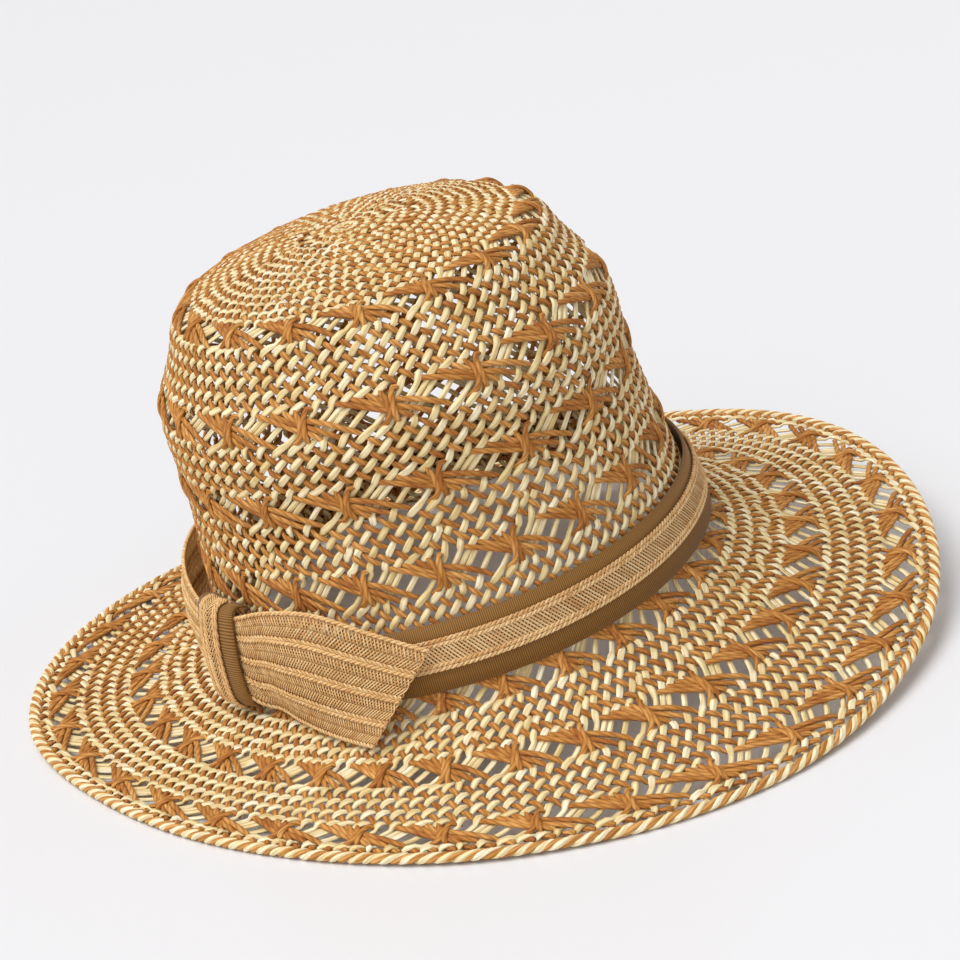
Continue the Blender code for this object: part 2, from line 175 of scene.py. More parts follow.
# Rows over which strands shift to make room for new ones, and rows over which the drift of the rings sets in
BLEND_ROWS = 4.0
DRIFT_ROWS = 20.0

# Parts of the weave: name, first and last row, whether it holds the middle of the tip
WEAVE_PARTS = (
    ("crown", 0, 82, True),
    ("brim", 82, 110, False),
)
# Rows that a part goes on past its first and last row, so that the parts meet
PART_OVERLAP = 0.6
# Rows from a crossing to where a strand leaves its flat top
CROSSING_FLAT = 0.28

# Rings of stars: first row of the floats, strands round the hat, stars with a spare strand after them, angle of one
# star in degrees, and the drift of the angle with its cosine and sine, in degrees
STAR_RINGS = (
    (29, 85, (), -98.2, 1.6, -2.6),
    (42, 85, (), -94.0, 1.9, 0.6),
    (53, 85, (), -89.2, 2.4, 1.0),
    (64, 102, (3, 13), -96.5, -0.3, -0.4),
    (79, 136, (12,), -90.8, -0.9, 0.0),
    (90, 170, (), -92.2, 0.0, -3.2),
    (101, 170, (), -89.6, 1.5, -2.7),
)
STAR_STRANDS = 5
FLOAT_ROWS = 4

# Square plain weave in the middle of the tip: strands each way, their pitch, and how far it lies under the rest
START_STRANDS = 4
START_PITCH = 0.0020
START_DEPTH = 0.0004

# Lengths of the band and of the bow's halves and knot, which their threads are spaced by
BAND_LENGTH = 0.600
BOW_FRONT_LENGTH = 0.070
BOW_BACK_LENGTH = 0.075
KNOT_LENGTH = 0.042

# Each braid: crossing layers of threads as way, lift, tuck at the ends and points in a thread; half width and half
# height of a thread; how far a rope's two plies lie from its middle sideways and up, and how far the rope stands off;
# half width and half height of a ply
BRAID_COLUMNS = ("layers", "thread", "lay", "ply")
BRAIDS = {
    "band": (
        ((1.0, 0.00045, 0.00020, 6), (-1.0, 0.00095, 0.00020, 6)),
        (0.00036, 0.00024),
        (0.00042, 0.00034, 0.00075),
        (0.00045, 0.00036),
    ),
    "bow": (
        ((-1.0, 0.00010, 0.00012, 4), (1.0, 0.00048, 0.00024, 4)),
        (0.00024, 0.00022),
        (0.00040, 0.00030, 0.00065),
        (0.00046, 0.00040),
    ),
    "knot": (
        ((-1.0, 0.00015, 0.00010, 4), (1.0, 0.00045, 0.00020, 5)),
        (0.00026, 0.00022),
        (0.00032, 0.00028, 0.00045),
        (0.00038, 0.00032),
    ),
}

# Band's braid: pitch of its threads, how far one leans, how far they stay from its edges, and its ropes' pitch; each
# pair of ropes as the distance from an edge and the lags of the twist at the lower and the upper edge
BRAID_PITCH = 0.00150
BRAID_LEAN = 0.0075
BRAID_MARGIN = 0.0008
BRAID_ROPE_PITCH = 0.0040
BRAID_ROPES = (
    (0.0007, 0.0, 0.25),
    (0.0021, 0.1, 0.6),
)

# Bow's braids: pitch of their threads, how far one leans, the seam's share of a braid's half; pitch of the seam's
# ropes, their place in it and the lag from one seam to the next; and how much of the solid's ridge they keep
BOW_PITCH = 0.00110
BOW_LEAN = 0.0022
BOW_SEAM = 0.12
BOW_ROPE_PITCH = 0.0034
BOW_ROPE_PLACE = 0.6
BOW_ROPE_LAG = 0.17
BOW_RIDGE_SHARE = 0.3
# Place on the crown whose outward way the bow swells in, as a share of the way up
BOW_FACES = 0.1

# Knot's braid: pitch, lean, beginning and end of its threads and ropes in shares of its length; reach of its threads
# and places of its ropes in shares of half its width; and points of its wrap
KNOT_PITCH = 0.024
KNOT_LEAN = 0.060
KNOT_THREADS = (0.09, 0.93)
KNOT_ROPES = (0.07, 0.95)
KNOT_REACH = 0.62
KNOT_PLACES = (-0.9, -0.68, 0.68, 0.9)
KNOT_POINTS = 61

# Ribs of the grosgrain: round the band and along the knot, and how high they stand
BAND_RIBS = 780
BAND_RIB_HEIGHT = 0.00009
KNOT_RIBS = 80
KNOT_RIB_HEIGHT = 0.00007
# Ribs are lower at the ribbon's edges: their share there, and how fast they rise across the width
RIB_AT_EDGE = 0.35
RIB_RISE = 12.0

# Turns of the rim's plait, one for every two pale strands that end in it, points along each turn, and how far its
# strands lie from its middle sideways and up
RIM_TURNS = 85
RIM_POINTS = 14
RIM_ROPE_WIDE = 0.00135
RIM_ROPE_HIGH = 0.00085
# Strands of the rim: name, whether brown, places in the rope, half thickness; and how much wider than thick they are
RIM_STRANDS = (
    ("rim_pale_strands", False, (0, 2), 0.00086),
    ("rim_brown_strands", True, (1, 3), 0.00078),
)
RIM_FLATNESS = 1.15
# Unevenness of a rope that is plaited by hand: of its turn in radians, and of its strands' width
HAND_TURN = 0.45
HAND_WIDTH = 0.16

# How far the pale strands of a star are pushed aside: place in the star in strands, shift in strands; and the rows
# from the star's middle within which they are, with the rows over which that fades
PALE_SHIFT = (
    (-2.5, -0.54),
    (-1.5, -0.25),
    (-0.5, 0.33),
    (0.5, 0.31),
    (1.5, -0.08),
    (2.5, -0.54),
)
PUSH_REACH = 3.2
PUSH_FADE = 1.7

# Brown strands of a star, each as stations of strands to the right of its middle, rows below it, and height off
# the wall in millimetres; the last value is the strand whose place it takes below the star
STAR_PATHS = (
    (((-2.85, -2.05, 0.55), (-1.70, -1.05, 0.75), (-0.40, 0.30, 0.60), (0.20, 0.66, 0.55), (0.85, 1.70, 0.65)), 2),
    (((-1.95, -2.10, 0.55), (-1.20, -1.25, 0.85), (-0.38, -0.30, 0.65), (0.25, 0.14, 0.60), (1.15, 1.05, 0.75),
      (1.90, 1.95, 0.55)), 3),
    (((-1.10, -2.15, 0.55), (-0.75, -1.45, 0.90), (-0.34, -0.85, 0.70), (0.38, -0.62, 0.60), (1.60, 0.35, 0.80),
      (2.80, 1.75, 0.55)), 4),
    (((-0.42, -2.10, 0.60), (-0.26, -1.35, 0.95), (-0.13, -0.70, 1.40), (-0.11, 0.30, 1.55), (-0.14, 1.10, 1.25),
      (-0.36, 1.75, 0.80)), 0),
    (((0.32, -2.20, 0.60), (0.16, -1.35, 1.00), (0.12, -0.70, 1.45), (0.13, 0.40, 1.60), (0.16, 1.25, 1.25),
      (0.24, 1.85, 0.75)), 1),
)

# How much wider a strand is where it lies a millimetre over the wall, and narrower where it dives under
SWELL = 0.22
# Sides of a strand and of a fine thread, points along each turn of a fine rope, and how far along its pattern each
# strand begins after the one before, in metres, so that no two look alike
STRAND_SIDES = 6
THREAD_SIDES = 5
ROPE_POINTS = 8
PATTERN_STEP = 0.37

# Photograph that the camera stands for: its size, and the focal length and the middle of the view, in pixels
PHOTO_SIZE = 960.0
PHOTO_FOCUS = 3253.9
PHOTO_MIDDLE = (435.15, 483.36)
CAMERA_ELEVATION = 0.3716
CAMERA_ROLL = 0.1965
CAMERA_DISTANCE = 1.0957
CAMERA_HEIGHT = 0.060
SENSOR_WIDTH = 36.0

# Lights: name, strength, spread in degrees, way that the light goes
LIGHTS = (
    ("window_light", 2.12, 45.0, (0.45, 0.10, -1.0)),
    ("front_fill", 0.75, 80.0, (0.30, 1.0, -0.45)),
)
WORLD_COLOUR = "#F4F3F4"
WORLD_STRENGTH = 0.56
FLOOR_HALF_SIZE = 4.0

# Steps for slopes, a millimetre in metres, and a length too small to matter
STEP = 1.0e-4
MM = 0.001
TINY = 1.0e-12

# How far up the crown and out on the brim the wall's own normals are taken, and how wide they blend at the root
NORMALS_TO = (0.985, 0.99)
NORMALS_BLEND = 0.08


def catmull_rom(p0, p1, p2, p3, t):
    """Smooth curve from p1 to p2, with t from 0 to 1."""
    linear = (p2 - p0) * t
    square = (2.0 * p0 - 5.0 * p1 + 4.0 * p2 - p3) * t**2
    cube = (3.0 * p1 - p0 - 3.0 * p2 + p3) * t**3
    return 0.5 * (2.0 * p1 + linear + square + cube)


def open_rows(rows, share):
    """Columns of a table at a share of its length, smooth through its rows."""
    table = np.array(rows, float)
    last = len(table) - 1
    first_end = 2.0 * table[0] - table[1]
    last_end = 2.0 * table[-1] - table[-2]
    padded = np.vstack([first_end, table, last_end])
    place = np.clip(np.asarray(share, float), 0.0, 1.0) * last
    index = np.minimum(place.astype(int), last - 1)
    t = (place - index)[..., None]
    return catmull_rom(padded[index], padded[index + 1], padded[index + 2], padded[index + 3], t)


def round_rows(rows, angle):
    """Columns of a table that goes once round the hat, smooth through its rows."""
    table = np.array(rows, float)
    count = len(table)
    place = np.mod(np.asarray(angle, float) / (2.0 * math.pi), 1.0) * count
    index = np.floor(place).astype(int) % count
    t = (place - np.floor(place))[..., None]
    before, here = table[(index - 1) % count], table[index]
    after, beyond = table[(index + 1) % count], table[(index + 2) % count]
    return catmull_rom(before, here, after, beyond, t)


def section_curve():
    """Crown section as a dense line: share of its length, height and radius shares, and its length."""
    rows = np.array(SECTION_ROWS)
    mirrored = rows[-2] * np.array([1.0, -1.0])
    padded = np.vstack([2.0 * rows[0] - rows[1], rows, mirrored])
    steps = 24
    line = []
    for index in range(len(rows) - 1):
        for step in range(steps):
            line.append(catmull_rom(*padded[index : index + 4], step / steps))
    line.append(rows[-1])
    line = np.array(line)
    middle = 0.5 * (HEAD_HALF_WIDTH + HEAD_HALF_DEPTH)
    lengths = np.hypot(np.diff(line[:, 0]) * CROWN_HEIGHT, np.diff(line[:, 1]) * middle)
    along = np.concatenate([[0.0], np.cumsum(lengths)])
    return along / along[-1], line, along[-1]


SECTION_SHARE, SECTION_LINE, CROWN_MERIDIAN = section_curve()


def crown_axes():
    """The leaning crown's own x, y and z directions as columns."""
    up = np.array([CROWN_LEAN_X, CROWN_LEAN_Y, 1.0])
    up /= np.linalg.norm(up)
    across = np.array([1.0, 0.0, 0.0]) - up * up[0]
    across /= np.linalg.norm(across)
    return np.column_stack([across, np.cross(up, across), up])


CROWN_AXES = crown_axes()


def raw_crown(up, angle):
    """Point of the crown's middle surface, up being the share of the way from the root to the tip."""
    up, angle = np.broadcast_arrays(np.asarray(up, float), np.asarray(angle, float))
    height = np.interp(up, SECTION_SHARE, SECTION_LINE[:, 0]) * CROWN_HEIGHT
    radius = np.interp(up, SECTION_SHARE, SECTION_LINE[:, 1])
    x = HEAD_HALF_WIDTH * radius * np.cos(angle)
    y = HEAD_HALF_DEPTH * radius * np.sin(angle)
    turned_x = x * math.cos(OVAL_TURN) - y * math.sin(OVAL_TURN)
    turned_y = x * math.sin(OVAL_TURN) + y * math.cos(OVAL_TURN)
    local = np.stack([turned_x, turned_y, height], -1)
    return local @ CROWN_AXES.T + np.array([CROWN_SHIFT_X, 0.0, ROOT_HEIGHT])


def raw_brim(out, angle):
    """Point of the brim's middle surface, out being the share of the way from the root to the outer edge."""
    out, angle = np.broadcast_arrays(np.asarray(out, float), np.asarray(angle, float))
    root = raw_crown(0.0, angle)
    reach, lift, sag = np.moveaxis(round_rows(BRIM_ROWS, angle), -1, 0)
    edge_x = BRIM_REACH * reach * np.cos(angle)
    edge_y = BRIM_REACH * reach * np.sin(angle)
    edge_z = BRIM_LIFT * np.maximum(lift, 0.0) + 0.5 * RIM_WIDTH
    edge = np.stack([edge_x, edge_y, edge_z], -1)
    point = root + (edge - root) * out[..., None]
    point[..., 2] -= BRIM_SAG * sag * 4.0 * out * (1.0 - out)
    return point


def plan_centre():
    """Middle of the brim's bounds, which stands on the origin."""
    edge = raw_brim(1.0, np.linspace(0.0, 2.0 * math.pi, 721))
    middle = 0.5 * (edge.min(axis=0) + edge.max(axis=0))
    return np.array([middle[0], middle[1], 0.0])


CENTRE = plan_centre()


def crown_point(up, angle):
    """Point of the crown's middle surface."""
    return raw_crown(up, angle) - CENTRE


def brim_point(out, angle):
    """Point of the brim's middle surface."""
    return raw_brim(out, angle) - CENTRE


def outward(point_of, place, angle, sign):
    """Unit normal on the outer side of a surface."""
    along = point_of(place + STEP, angle) - point_of(place, angle)
    around = point_of(place, angle + STEP) - point_of(place, angle)
    normal = np.cross(around, along) * sign
    return normal / np.linalg.norm(normal, axis=-1, keepdims=True)


def off_crown(height, angle, stand):
    """Point that stands off the crown's middle surface, at a height in metres up its side."""
    height = np.asarray(height, float)
    up = np.maximum(height, 0.0) / CROWN_MERIDIAN
    below = np.minimum(height, 0.0)[..., None] * CROWN_AXES[:, 2]
    stand = np.asarray(stand, float)[..., None]
    return crown_point(up, angle) + outward(crown_point, up, angle, 1.0) * stand + below


def brim_width(angle):
    """Length of the brim from the root to its edge."""
    return np.linalg.norm(brim_point(1.0, angle) - brim_point(0.0, angle), axis=-1)


def off_brim(distance, angle, stand):
    """Point that stands off the brim's middle surface, at a distance in metres out from the root."""
    out = np.asarray(distance, float) / brim_width(angle)
    stand = np.asarray(stand, float)[..., None]
    return brim_point(out, angle) + outward(brim_point, out, angle, -1.0) * stand


def off_hat(place, angle, crown_stand, brim_stand):
    """Point off the crown where place is positive and off the brim where it is negative, blended at the root."""
    blend = np.clip(0.5 + place / (ROOT_BLEND * RIBBON_WIDTH), 0.0, 1.0)[..., None]
    on_crown = off_crown(np.maximum(place, 0.0), angle, crown_stand)
    on_brim = off_brim(np.maximum(-place, 0.0), angle, brim_stand)
    return on_crown * blend + on_brim * (1.0 - blend)


BAND_FACE = 0.5 * WALL + FIT_GAP + RIBBON_THICKNESS
BRAID_FACE = BAND_FACE + FIT_GAP + BRAID_THICKNESS + BRAID_DOME
BOW_STAND = BRAID_FACE + FIT_GAP + 0.5 * BOW_THICKNESS + BOW_RIDGE
BOW_BRIM_STAND = 0.5 * WALL + FIT_GAP + 0.5 * BOW_THICKNESS + BOW_RIDGE


def band_stand(angle):
    """How far the band stands away from the crown where it is loose."""
    facing = np.maximum(np.cos(np.asarray(angle) - BAND_STANDOFF_ANGLE), 0.0)
    return BAND_STANDOFF * facing**BAND_STANDOFF_POWER


def wall_frame(rows, angles):
    """Points of the woven wall at weave rows and angles, with their outward normals."""
    stops = np.array(ROW_STOPS)
    place = np.interp(rows, stops[:, 0], stops[:, 1])
    on_crown = crown_point(np.clip(place, 0.0, 1.0), angles)
    on_brim = brim_point(np.clip(-place, 0.0, 1.0), angles)
    points = np.where((place >= 0.0)[:, None], on_crown, on_brim)
    crown_normal = outward(crown_point, np.clip(place, 0.0, NORMALS_TO[0]), angles, 1.0)
    brim_normal = outward(brim_point, np.clip(-place, 0.0, NORMALS_TO[1]), angles, -1.0)
    blend = np.clip(0.5 + place / NORMALS_BLEND, 0.0, 1.0)[:, None]
    normals = crown_normal * blend + brim_normal * (1.0 - blend)
    normals /= np.linalg.norm(normals, axis=1, keepdims=True)
    return points, normals


class Zone:
    """One zone of the weave: its rows, its strands and how each strand is shifted where the zone begins."""

    def __init__(self, first, count):
        self.first = first
        self.count = count
        self.turns = [ring_turn(ring) for ring in STAR_RINGS if ring[1] == count and ring[0] > first]
        self.shift = {True: np.zeros(count), False: np.zeros(count)}
        self.older = {True: np.full(count, -1), False: np.full(count, -1)}

    def base(self, index, row):
        """Angle of a place in strands at a row, before the drift."""
        turn = 0.0
        if self.turns:
            turn = np.interp(row, [t[0] for t in self.turns], [t[1] for t in self.turns])
        return 2.0 * math.pi * np.asarray(index, float) / self.count + turn

    def angle(self, index, row):
        """Angle round the hat of a place in strands at a row."""
        base = self.base(index, row)
        rows = [ring_middle(ring) for ring in STAR_RINGS]
        cosine = np.radians(np.interp(row, rows, [ring[4] for ring in STAR_RINGS]))
        sine = np.radians(np.interp(row, rows, [ring[5] for ring in STAR_RINGS]))
        fade = np.clip(np.asarray(row, float) / DRIFT_ROWS, 0.0, 1.0)
        return base + fade * (cosine * np.cos(base) + sine * np.sin(base))


def ring_middle(ring):
    """Row of the middle of a ring's stars."""
    return ring[0] + 0.5 * (FLOAT_ROWS - 1)


def ring_turn(ring):
    """Middle row of a ring and the turn that brings one of its stars to its angle, under half a strand."""
    row = ring_middle(ring)
    pitch = 2.0 * math.pi / ring[1]
    plain = (0.5 * row) * pitch
    target = math.radians(ring[3])
    turn = (target - plain) % pitch
    if turn > 0.5 * pitch:
        turn -= pitch
    return row, turn


def ring_starts(ring):
    """First brown strand of each star of a ring."""
    row, turn = ring_turn(ring)
    pitch = 2.0 * math.pi / ring[1]
    middle = round((math.radians(ring[3]) - turn) / pitch - 0.5 * row)
    starts = []
    at = middle - (STAR_STRANDS - 1) // 2
    spares = ring[2]
    for number in range((ring[1] - len(spares)) // STAR_STRANDS):
        starts.append(at)
        at += STAR_STRANDS + (1 if number in spares else 0)
    return np.array(starts)


def make_zones():
    """All zones of the weave with their strands joined at the borders."""
    zones = [Zone(first, count) for first, count in ZONES]
    for old, new in zip(zones[:-1], zones[1:]):
        border = new.first
        for brown in (True, False):
            lean = 0.5 * border if brown else -0.5 * border
            old_base = old.base(np.arange(old.count) + lean, border)
            new_zero = new.base(lean, border)
            place = (old_base - new_zero) * new.count / (2.0 * math.pi)
            nearest = np.round(place).astype(int)
            new.shift[brown][nearest % new.count] = place - nearest
            new.older[brown][nearest % new.count] = np.arange(old.count)
            fresh = np.flatnonzero(new.older[brown] < 0)
            sides = new.shift[brown][(fresh - 1) % new.count] + new.shift[brown][(fresh + 1) % new.count]
            new.shift[brown][fresh] = 0.5 * sides
    return zones


def brown_on_top(row):
    """Whether the brown strand lies over the pale one at a row of crossings."""
    last_start = None
    for ring in STAR_RINGS:
        if ring[0] <= row < ring[0] + FLOAT_ROWS:
            return True
        if row < ring[0]:
            return (ring[0] - row) % 2 == 0
        last_start = ring[0]
    return (row - last_start - FLOAT_ROWS) % 2 == 1


def nearest_star(ring, strand_place):
    """Signed distance in strands from the nearest star's middle, for places in strands at the ring's middle row."""
    middles = ring_starts(ring) + 0.5 * (STAR_STRANDS - 1) + 0.5 * ring_middle(ring)
    gap = strand_place[:, None] - middles[None, :]
    gap = (gap + 0.5 * ring[1]) % ring[1] - 0.5 * ring[1]
    return gap[np.arange(len(gap)), np.argmin(np.abs(gap), axis=1)]


def pale_push(zone, strand, rows):
    """How far a pale strand is pushed aside at rows near a ring of stars, in strands."""
    push = np.zeros(len(rows))
    table = np.array(PALE_SHIFT)
    for ring in STAR_RINGS:
        if ring[1] != zone.count:
            continue
        middle = ring_middle(ring)
        weight = np.clip((PUSH_REACH - np.abs(rows - middle)) / PUSH_FADE, 0.0, 1.0)
        if not weight.any():
            continue
        weight = weight * weight * (3.0 - 2.0 * weight)
        gap = nearest_star(ring, np.array([strand - 0.5 * middle]))
        push += weight * np.interp(gap[0], table[:, 0], table[:, 1])
    return push


def crossings(zone, brown, strand, rows):
    """Places in strands and rows of a strand's crossings in a zone."""
    rows = np.asarray(rows, float)
    fade = np.clip(1.0 - (rows - zone.first) / BLEND_ROWS, 0.0, 1.0)
    fade = fade * fade * (3.0 - 2.0 * fade)
    partner = (strand + (rows if brown else -rows)).astype(int) % zone.count
    own = zone.shift[brown][strand % zone.count] * fade
    other = zone.shift[not brown][partner] * fade
    place = strand + (0.5 if brown else -0.5) * rows + 0.5 * (own + other)
    shifted = rows + (other - own) * (1.0 if brown else -1.0)
    return place, shifted


class Strand:
    """One strand from where it begins to the rim: its stations as places, rows, heights and zones."""

    def __init__(self):
        self.place, self.row, self.height, self.zone = [], [], [], []

    def add(self, place, row, height, zone):
        """Add stations at the end."""
        self.place.extend(np.atleast_1d(place))
        self.row.extend(np.atleast_1d(row))
        self.height.extend(np.atleast_1d(height))
        self.zone.extend([zone] * len(np.atleast_1d(place)))


def smooth_line(points, cuts):
    """Points along a smooth curve through given points, with cuts steps between each two."""
    points = np.array(points, float)
    padded = np.vstack([2.0 * points[0] - points[1], points, 2.0 * points[-1] - points[-2]])
    line = []
    for index in range(len(points) - 1):
        for step in range(cuts):
            line.append(catmull_rom(*padded[index : index + 4], step / cuts))
    line.append(points[-1])
    return np.array(line)


def weave_strand(zones, brown, start_zone, start_strand, wave, star_members):
    """Stations of one strand through every zone from the one in which it begins."""
    made = Strand()
    strand = start_strand
    for number in range(start_zone, len(zones)):
        zone = zones[number]
        if number > start_zone:
            strand = int(np.flatnonzero(zone.older[brown] == strand % zones[number - 1].count)[0])
        last = zones[number + 1].first if number + 1 < len(zones) else LAST_ROW + 0.5
        row = zone.first
        if number == start_zone:
            place, shifted = crossings(zone, brown, strand, np.array([row]))
            made.add(place, shifted - 0.5, -1.0 * MM, number)
            if number:
                row += 1
        rings = {ring[0]: ring for ring in STAR_RINGS if ring[1] == zone.count}
        while row < last:
            kind = star_members[row].get(strand % zone.count) if brown and row in rings else None
            if kind is not None:
                middle = ring_middle(rings[row])
                path, target = STAR_PATHS[kind]
                right, below, height = smooth_line(path, 2).T
                star_place = strand - kind + 0.5 * (STAR_STRANDS - 1) + 0.5 * middle
                made.add(star_place + right, middle + below, height * MM, number)
                strand += target - kind
                row += FLOAT_ROWS
                continue
            place, shifted = crossings(zone, brown, strand, np.array([row]))
            if number > start_zone and row < zone.first + 1 and shifted[0] < zone.first - 0.5:
                row += 1
                continue
            height = wave * (1.0 if brown_on_top(row) == brown else -1.0)
            spread = np.array([-CROSSING_FLAT, CROSSING_FLAT])
            at_place = place + (0.5 if brown else -0.5) * spread
            at_row = shifted + spread
            if not brown:
                at_place = at_place + pale_push(zone, strand, at_row)
            made.add(at_place, at_row, np.full(2, height), number)
            row += 1
    return made


def all_strands(brown, wave):
    """Every strand of one colour, each with the zones of the weave."""
    zones = make_zones()
    star_members = {}
    for ring in STAR_RINGS:
        starts = ring_starts(ring)
        star_members[ring[0]] = {
            int(start + kind) % ring[1]: kind for start in starts for kind in range(STAR_STRANDS)}
    made = []
    for number, zone in enumerate(zones):
        fresh = np.flatnonzero(zone.older[brown] < 0) if number else np.arange(zone.count)
        for strand in fresh:
            made.append((zones, weave_strand(zones, brown, number, int(strand), wave, star_members)))
    return made


def strand_lines(strands, rows_from, rows_to):
    """Middle lines, normals and widths of the parts of strands in a range of rows, or None for a strand not in it."""
    lines = []
    for zones, strand in strands:
        place, row = np.array(strand.place), np.array(strand.row)
        height, number = np.array(strand.height), np.array(strand.zone)
        angle = np.zeros(len(place))
        for index in np.unique(number):
            mine = number == index
            angle[mine] = zones[index].angle(place[mine], row[mine])
        inside = np.flatnonzero((row >= rows_from - PART_OVERLAP) & (row <= rows_to + PART_OVERLAP))
        if len(inside) < 3:
            lines.append(None)
            continue
        first, last = inside[0], inside[-1] + 1
        points, normals = wall_frame(row[first:last], angle[first:last])
        above = height[first:last]
        widths = 1.0 + SWELL * np.clip(above / MM, -1.0, 1.0)
        lines.append((points + normals * above[:, None], normals, widths))
    return lines


def start_lines(brown, wave):
    """Short strands of the small square plain weave that the tip is begun with, which closes its middle."""
    along, across, up = CROWN_AXES[:, 0 if brown else 1], CROWN_AXES[:, 1 if brown else 0], CROWN_AXES[:, 2]
    places = (np.arange(START_STRANDS) - 0.5 * (START_STRANDS - 1)) * START_PITCH
    stations = np.linspace(places[0] - START_PITCH, places[-1] + START_PITCH, 2 * START_STRANDS + 3)
    lines = []
    for number, place in enumerate(places):
        rise = wave * np.cos(math.pi * ((stations - places[0]) / START_PITCH + number + (1 if brown else 0)))
        points = crown_point(1.0, 0.0) + across * place + stations[:, None] * along
        points = points + (rise - START_DEPTH)[:, None] * up
        lines.append((points, np.tile(up, (len(points), 1))))
    return lines


def tube_template(rings, sides):
    """Closed tube one long, as a cylinder cut into rings: ring and side of each vertex, and its faces."""
    built = bmesh.new()
    bmesh.ops.create_cone(built, cap_ends=True, segments=sides, radius1=1.0, radius2=1.0, depth=1.0)
    if rings > 2:
        long_edges = [e for e in built.edges if abs(e.verts[0].co.z - e.verts[1].co.z) > 0.5]
        bmesh.ops.subdivide_edges(built, edges=long_edges, cuts=rings - 2, use_grid_fill=True)
    bmesh.ops.recalc_face_normals(built, faces=built.faces[:])
    built.verts.index_update()
    ring_of = np.array([round((v.co.z + 0.5) * (rings - 1)) for v in built.verts])
    around = np.array([math.atan2(v.co.y, v.co.x) for v in built.verts])
    side_of = np.round(np.mod(around - around.min(), 2.0 * math.pi) * sides / (2.0 * math.pi)).astype(int) % sides
    phase = around.min()
    corners, starts, corner_side = [], [], []
    for face in built.faces:
        starts.append(len(corners))
        sides_here = [side_of[v.index] for v in face.verts]
        wrap = max(sides_here) - min(sides_here) > sides // 2 and len(face.verts) == 4
        for v in face.verts:
            corners.append(v.index)
            side = side_of[v.index]
            corner_side.append(side + sides if wrap and side < sides // 2 else side)
    built.free()
    return ring_of, side_of, phase, np.array(corners), np.array(starts), np.array(corner_side)


TEMPLATES = {}


def sweep(name, lines, half_width, half_height, sides, surface, tones, power=1.0):
    """Joined mesh of closed tubes of oval section along lines, flat to the wall, with a UV map in metres."""
    all_co, all_corner, all_start, all_uv, all_tone = [], [], [], [], []
    vertex_at = corner_at = 0
    for number, line in enumerate(lines):
        if line is None:
            continue
        points, normals, *swell = line
        swell = swell[0] if swell else np.ones(len(points))
        rings = len(points)
        if (rings, sides) not in TEMPLATES:
            TEMPLATES[(rings, sides)] = tube_template(rings, sides)
        ring_of, side_of, phase, corners, starts, corner_side = TEMPLATES[(rings, sides)]
        along = np.gradient(points, axis=0)
        along /= np.linalg.norm(along, axis=1, keepdims=True) + TINY
        across = np.cross(along, normals)
        across /= np.linalg.norm(across, axis=1, keepdims=True) + TINY
        up = np.cross(across, along)
        around = phase + side_of * 2.0 * math.pi / sides
        cosine, sine = np.cos(around), np.sin(around)
        wide = half_width * swell[ring_of] * np.sign(cosine) * np.abs(cosine) ** power
        high = half_height * np.sign(sine) * np.abs(sine) ** power
        co = points[ring_of] + across[ring_of] * wide[:, None] + up[ring_of] * high[:, None]
        run = np.concatenate([[0.0], np.cumsum(np.linalg.norm(np.diff(points, axis=0), axis=1))])
        uv = np.column_stack([run[ring_of[corners]] + PATTERN_STEP * number, corner_side / sides])
        all_co.append(co)
        all_corner.append(corners + vertex_at)
        all_start.append(starts + corner_at)
        all_uv.append(uv)
        all_tone.append(np.full(len(co), tones[number]))
        vertex_at += len(co)
        corner_at += len(corners)
    mesh = bpy.data.meshes.new(name)
    co, corners, starts = np.concatenate(all_co), np.concatenate(all_corner), np.concatenate(all_start)
    mesh.vertices.add(len(co))
    mesh.vertices.foreach_set("co", co.astype(np.float32).ravel())
    mesh.loops.add(len(corners))
    mesh.loops.foreach_set("vertex_index", corners.astype(np.int32))
    mesh.polygons.add(len(starts))
    mesh.polygons.foreach_set("loop_start", starts.astype(np.int32))
    mesh.update(calc_edges=True)
    layer = mesh.uv_layers.new(name="run")
    layer.data.foreach_set("uv", np.concatenate(all_uv).astype(np.float32).ravel())
    tone = mesh.attributes.new("tone", "FLOAT", "POINT")
    tone.data.foreach_set("value", np.concatenate(all_tone).astype(np.float32))
    mesh.validate()
    mesh.shade_smooth()
    mesh.materials.append(surface)
    made = bpy.data.objects.new(name, mesh)
    bpy.context.scene.collection.objects.link(made)
    return made


def uneven(count, knots, seed):
    """Repeatable smooth unevenness from about -1 to 1 along a closed line."""
    values = np.random.default_rng(seed).uniform(-1.0, 1.0, knots)
    return np.interp(np.linspace(0.0, knots, count), np.arange(knots + 1), np.append(values, values[0]))


def rope_lines(centres, sides, ups, plies, twists, wide, high, lag=0.0, seed=None):
    """Middle lines and normals of the plies of a rope laid round a line; a seed makes it hand-made and uneven."""
    share = np.linspace(0.0, 1.0, len(centres))
    lines = []
    for ply in range(plies):
        phase = 2.0 * math.pi * (ply / plies + twists * share + lag)
        if seed is not None:
            phase = phase + HAND_TURN * uneven(len(centres), 2 * abs(twists), 10 * seed + ply)
        cosine, sine = np.cos(phase)[:, None], np.sin(phase)[:, None]
        points = centres + sides * cosine * wide + ups * sine * high
        normals = sides * cosine + ups * sine
        swell = np.ones(len(centres))
        if seed is not None:
            swell += HAND_WIDTH * uneven(len(centres), 4 * abs(twists), 20 * seed + ply)
        lines.append((points, normals / np.linalg.norm(normals, axis=1, keepdims=True), swell))
    return lines


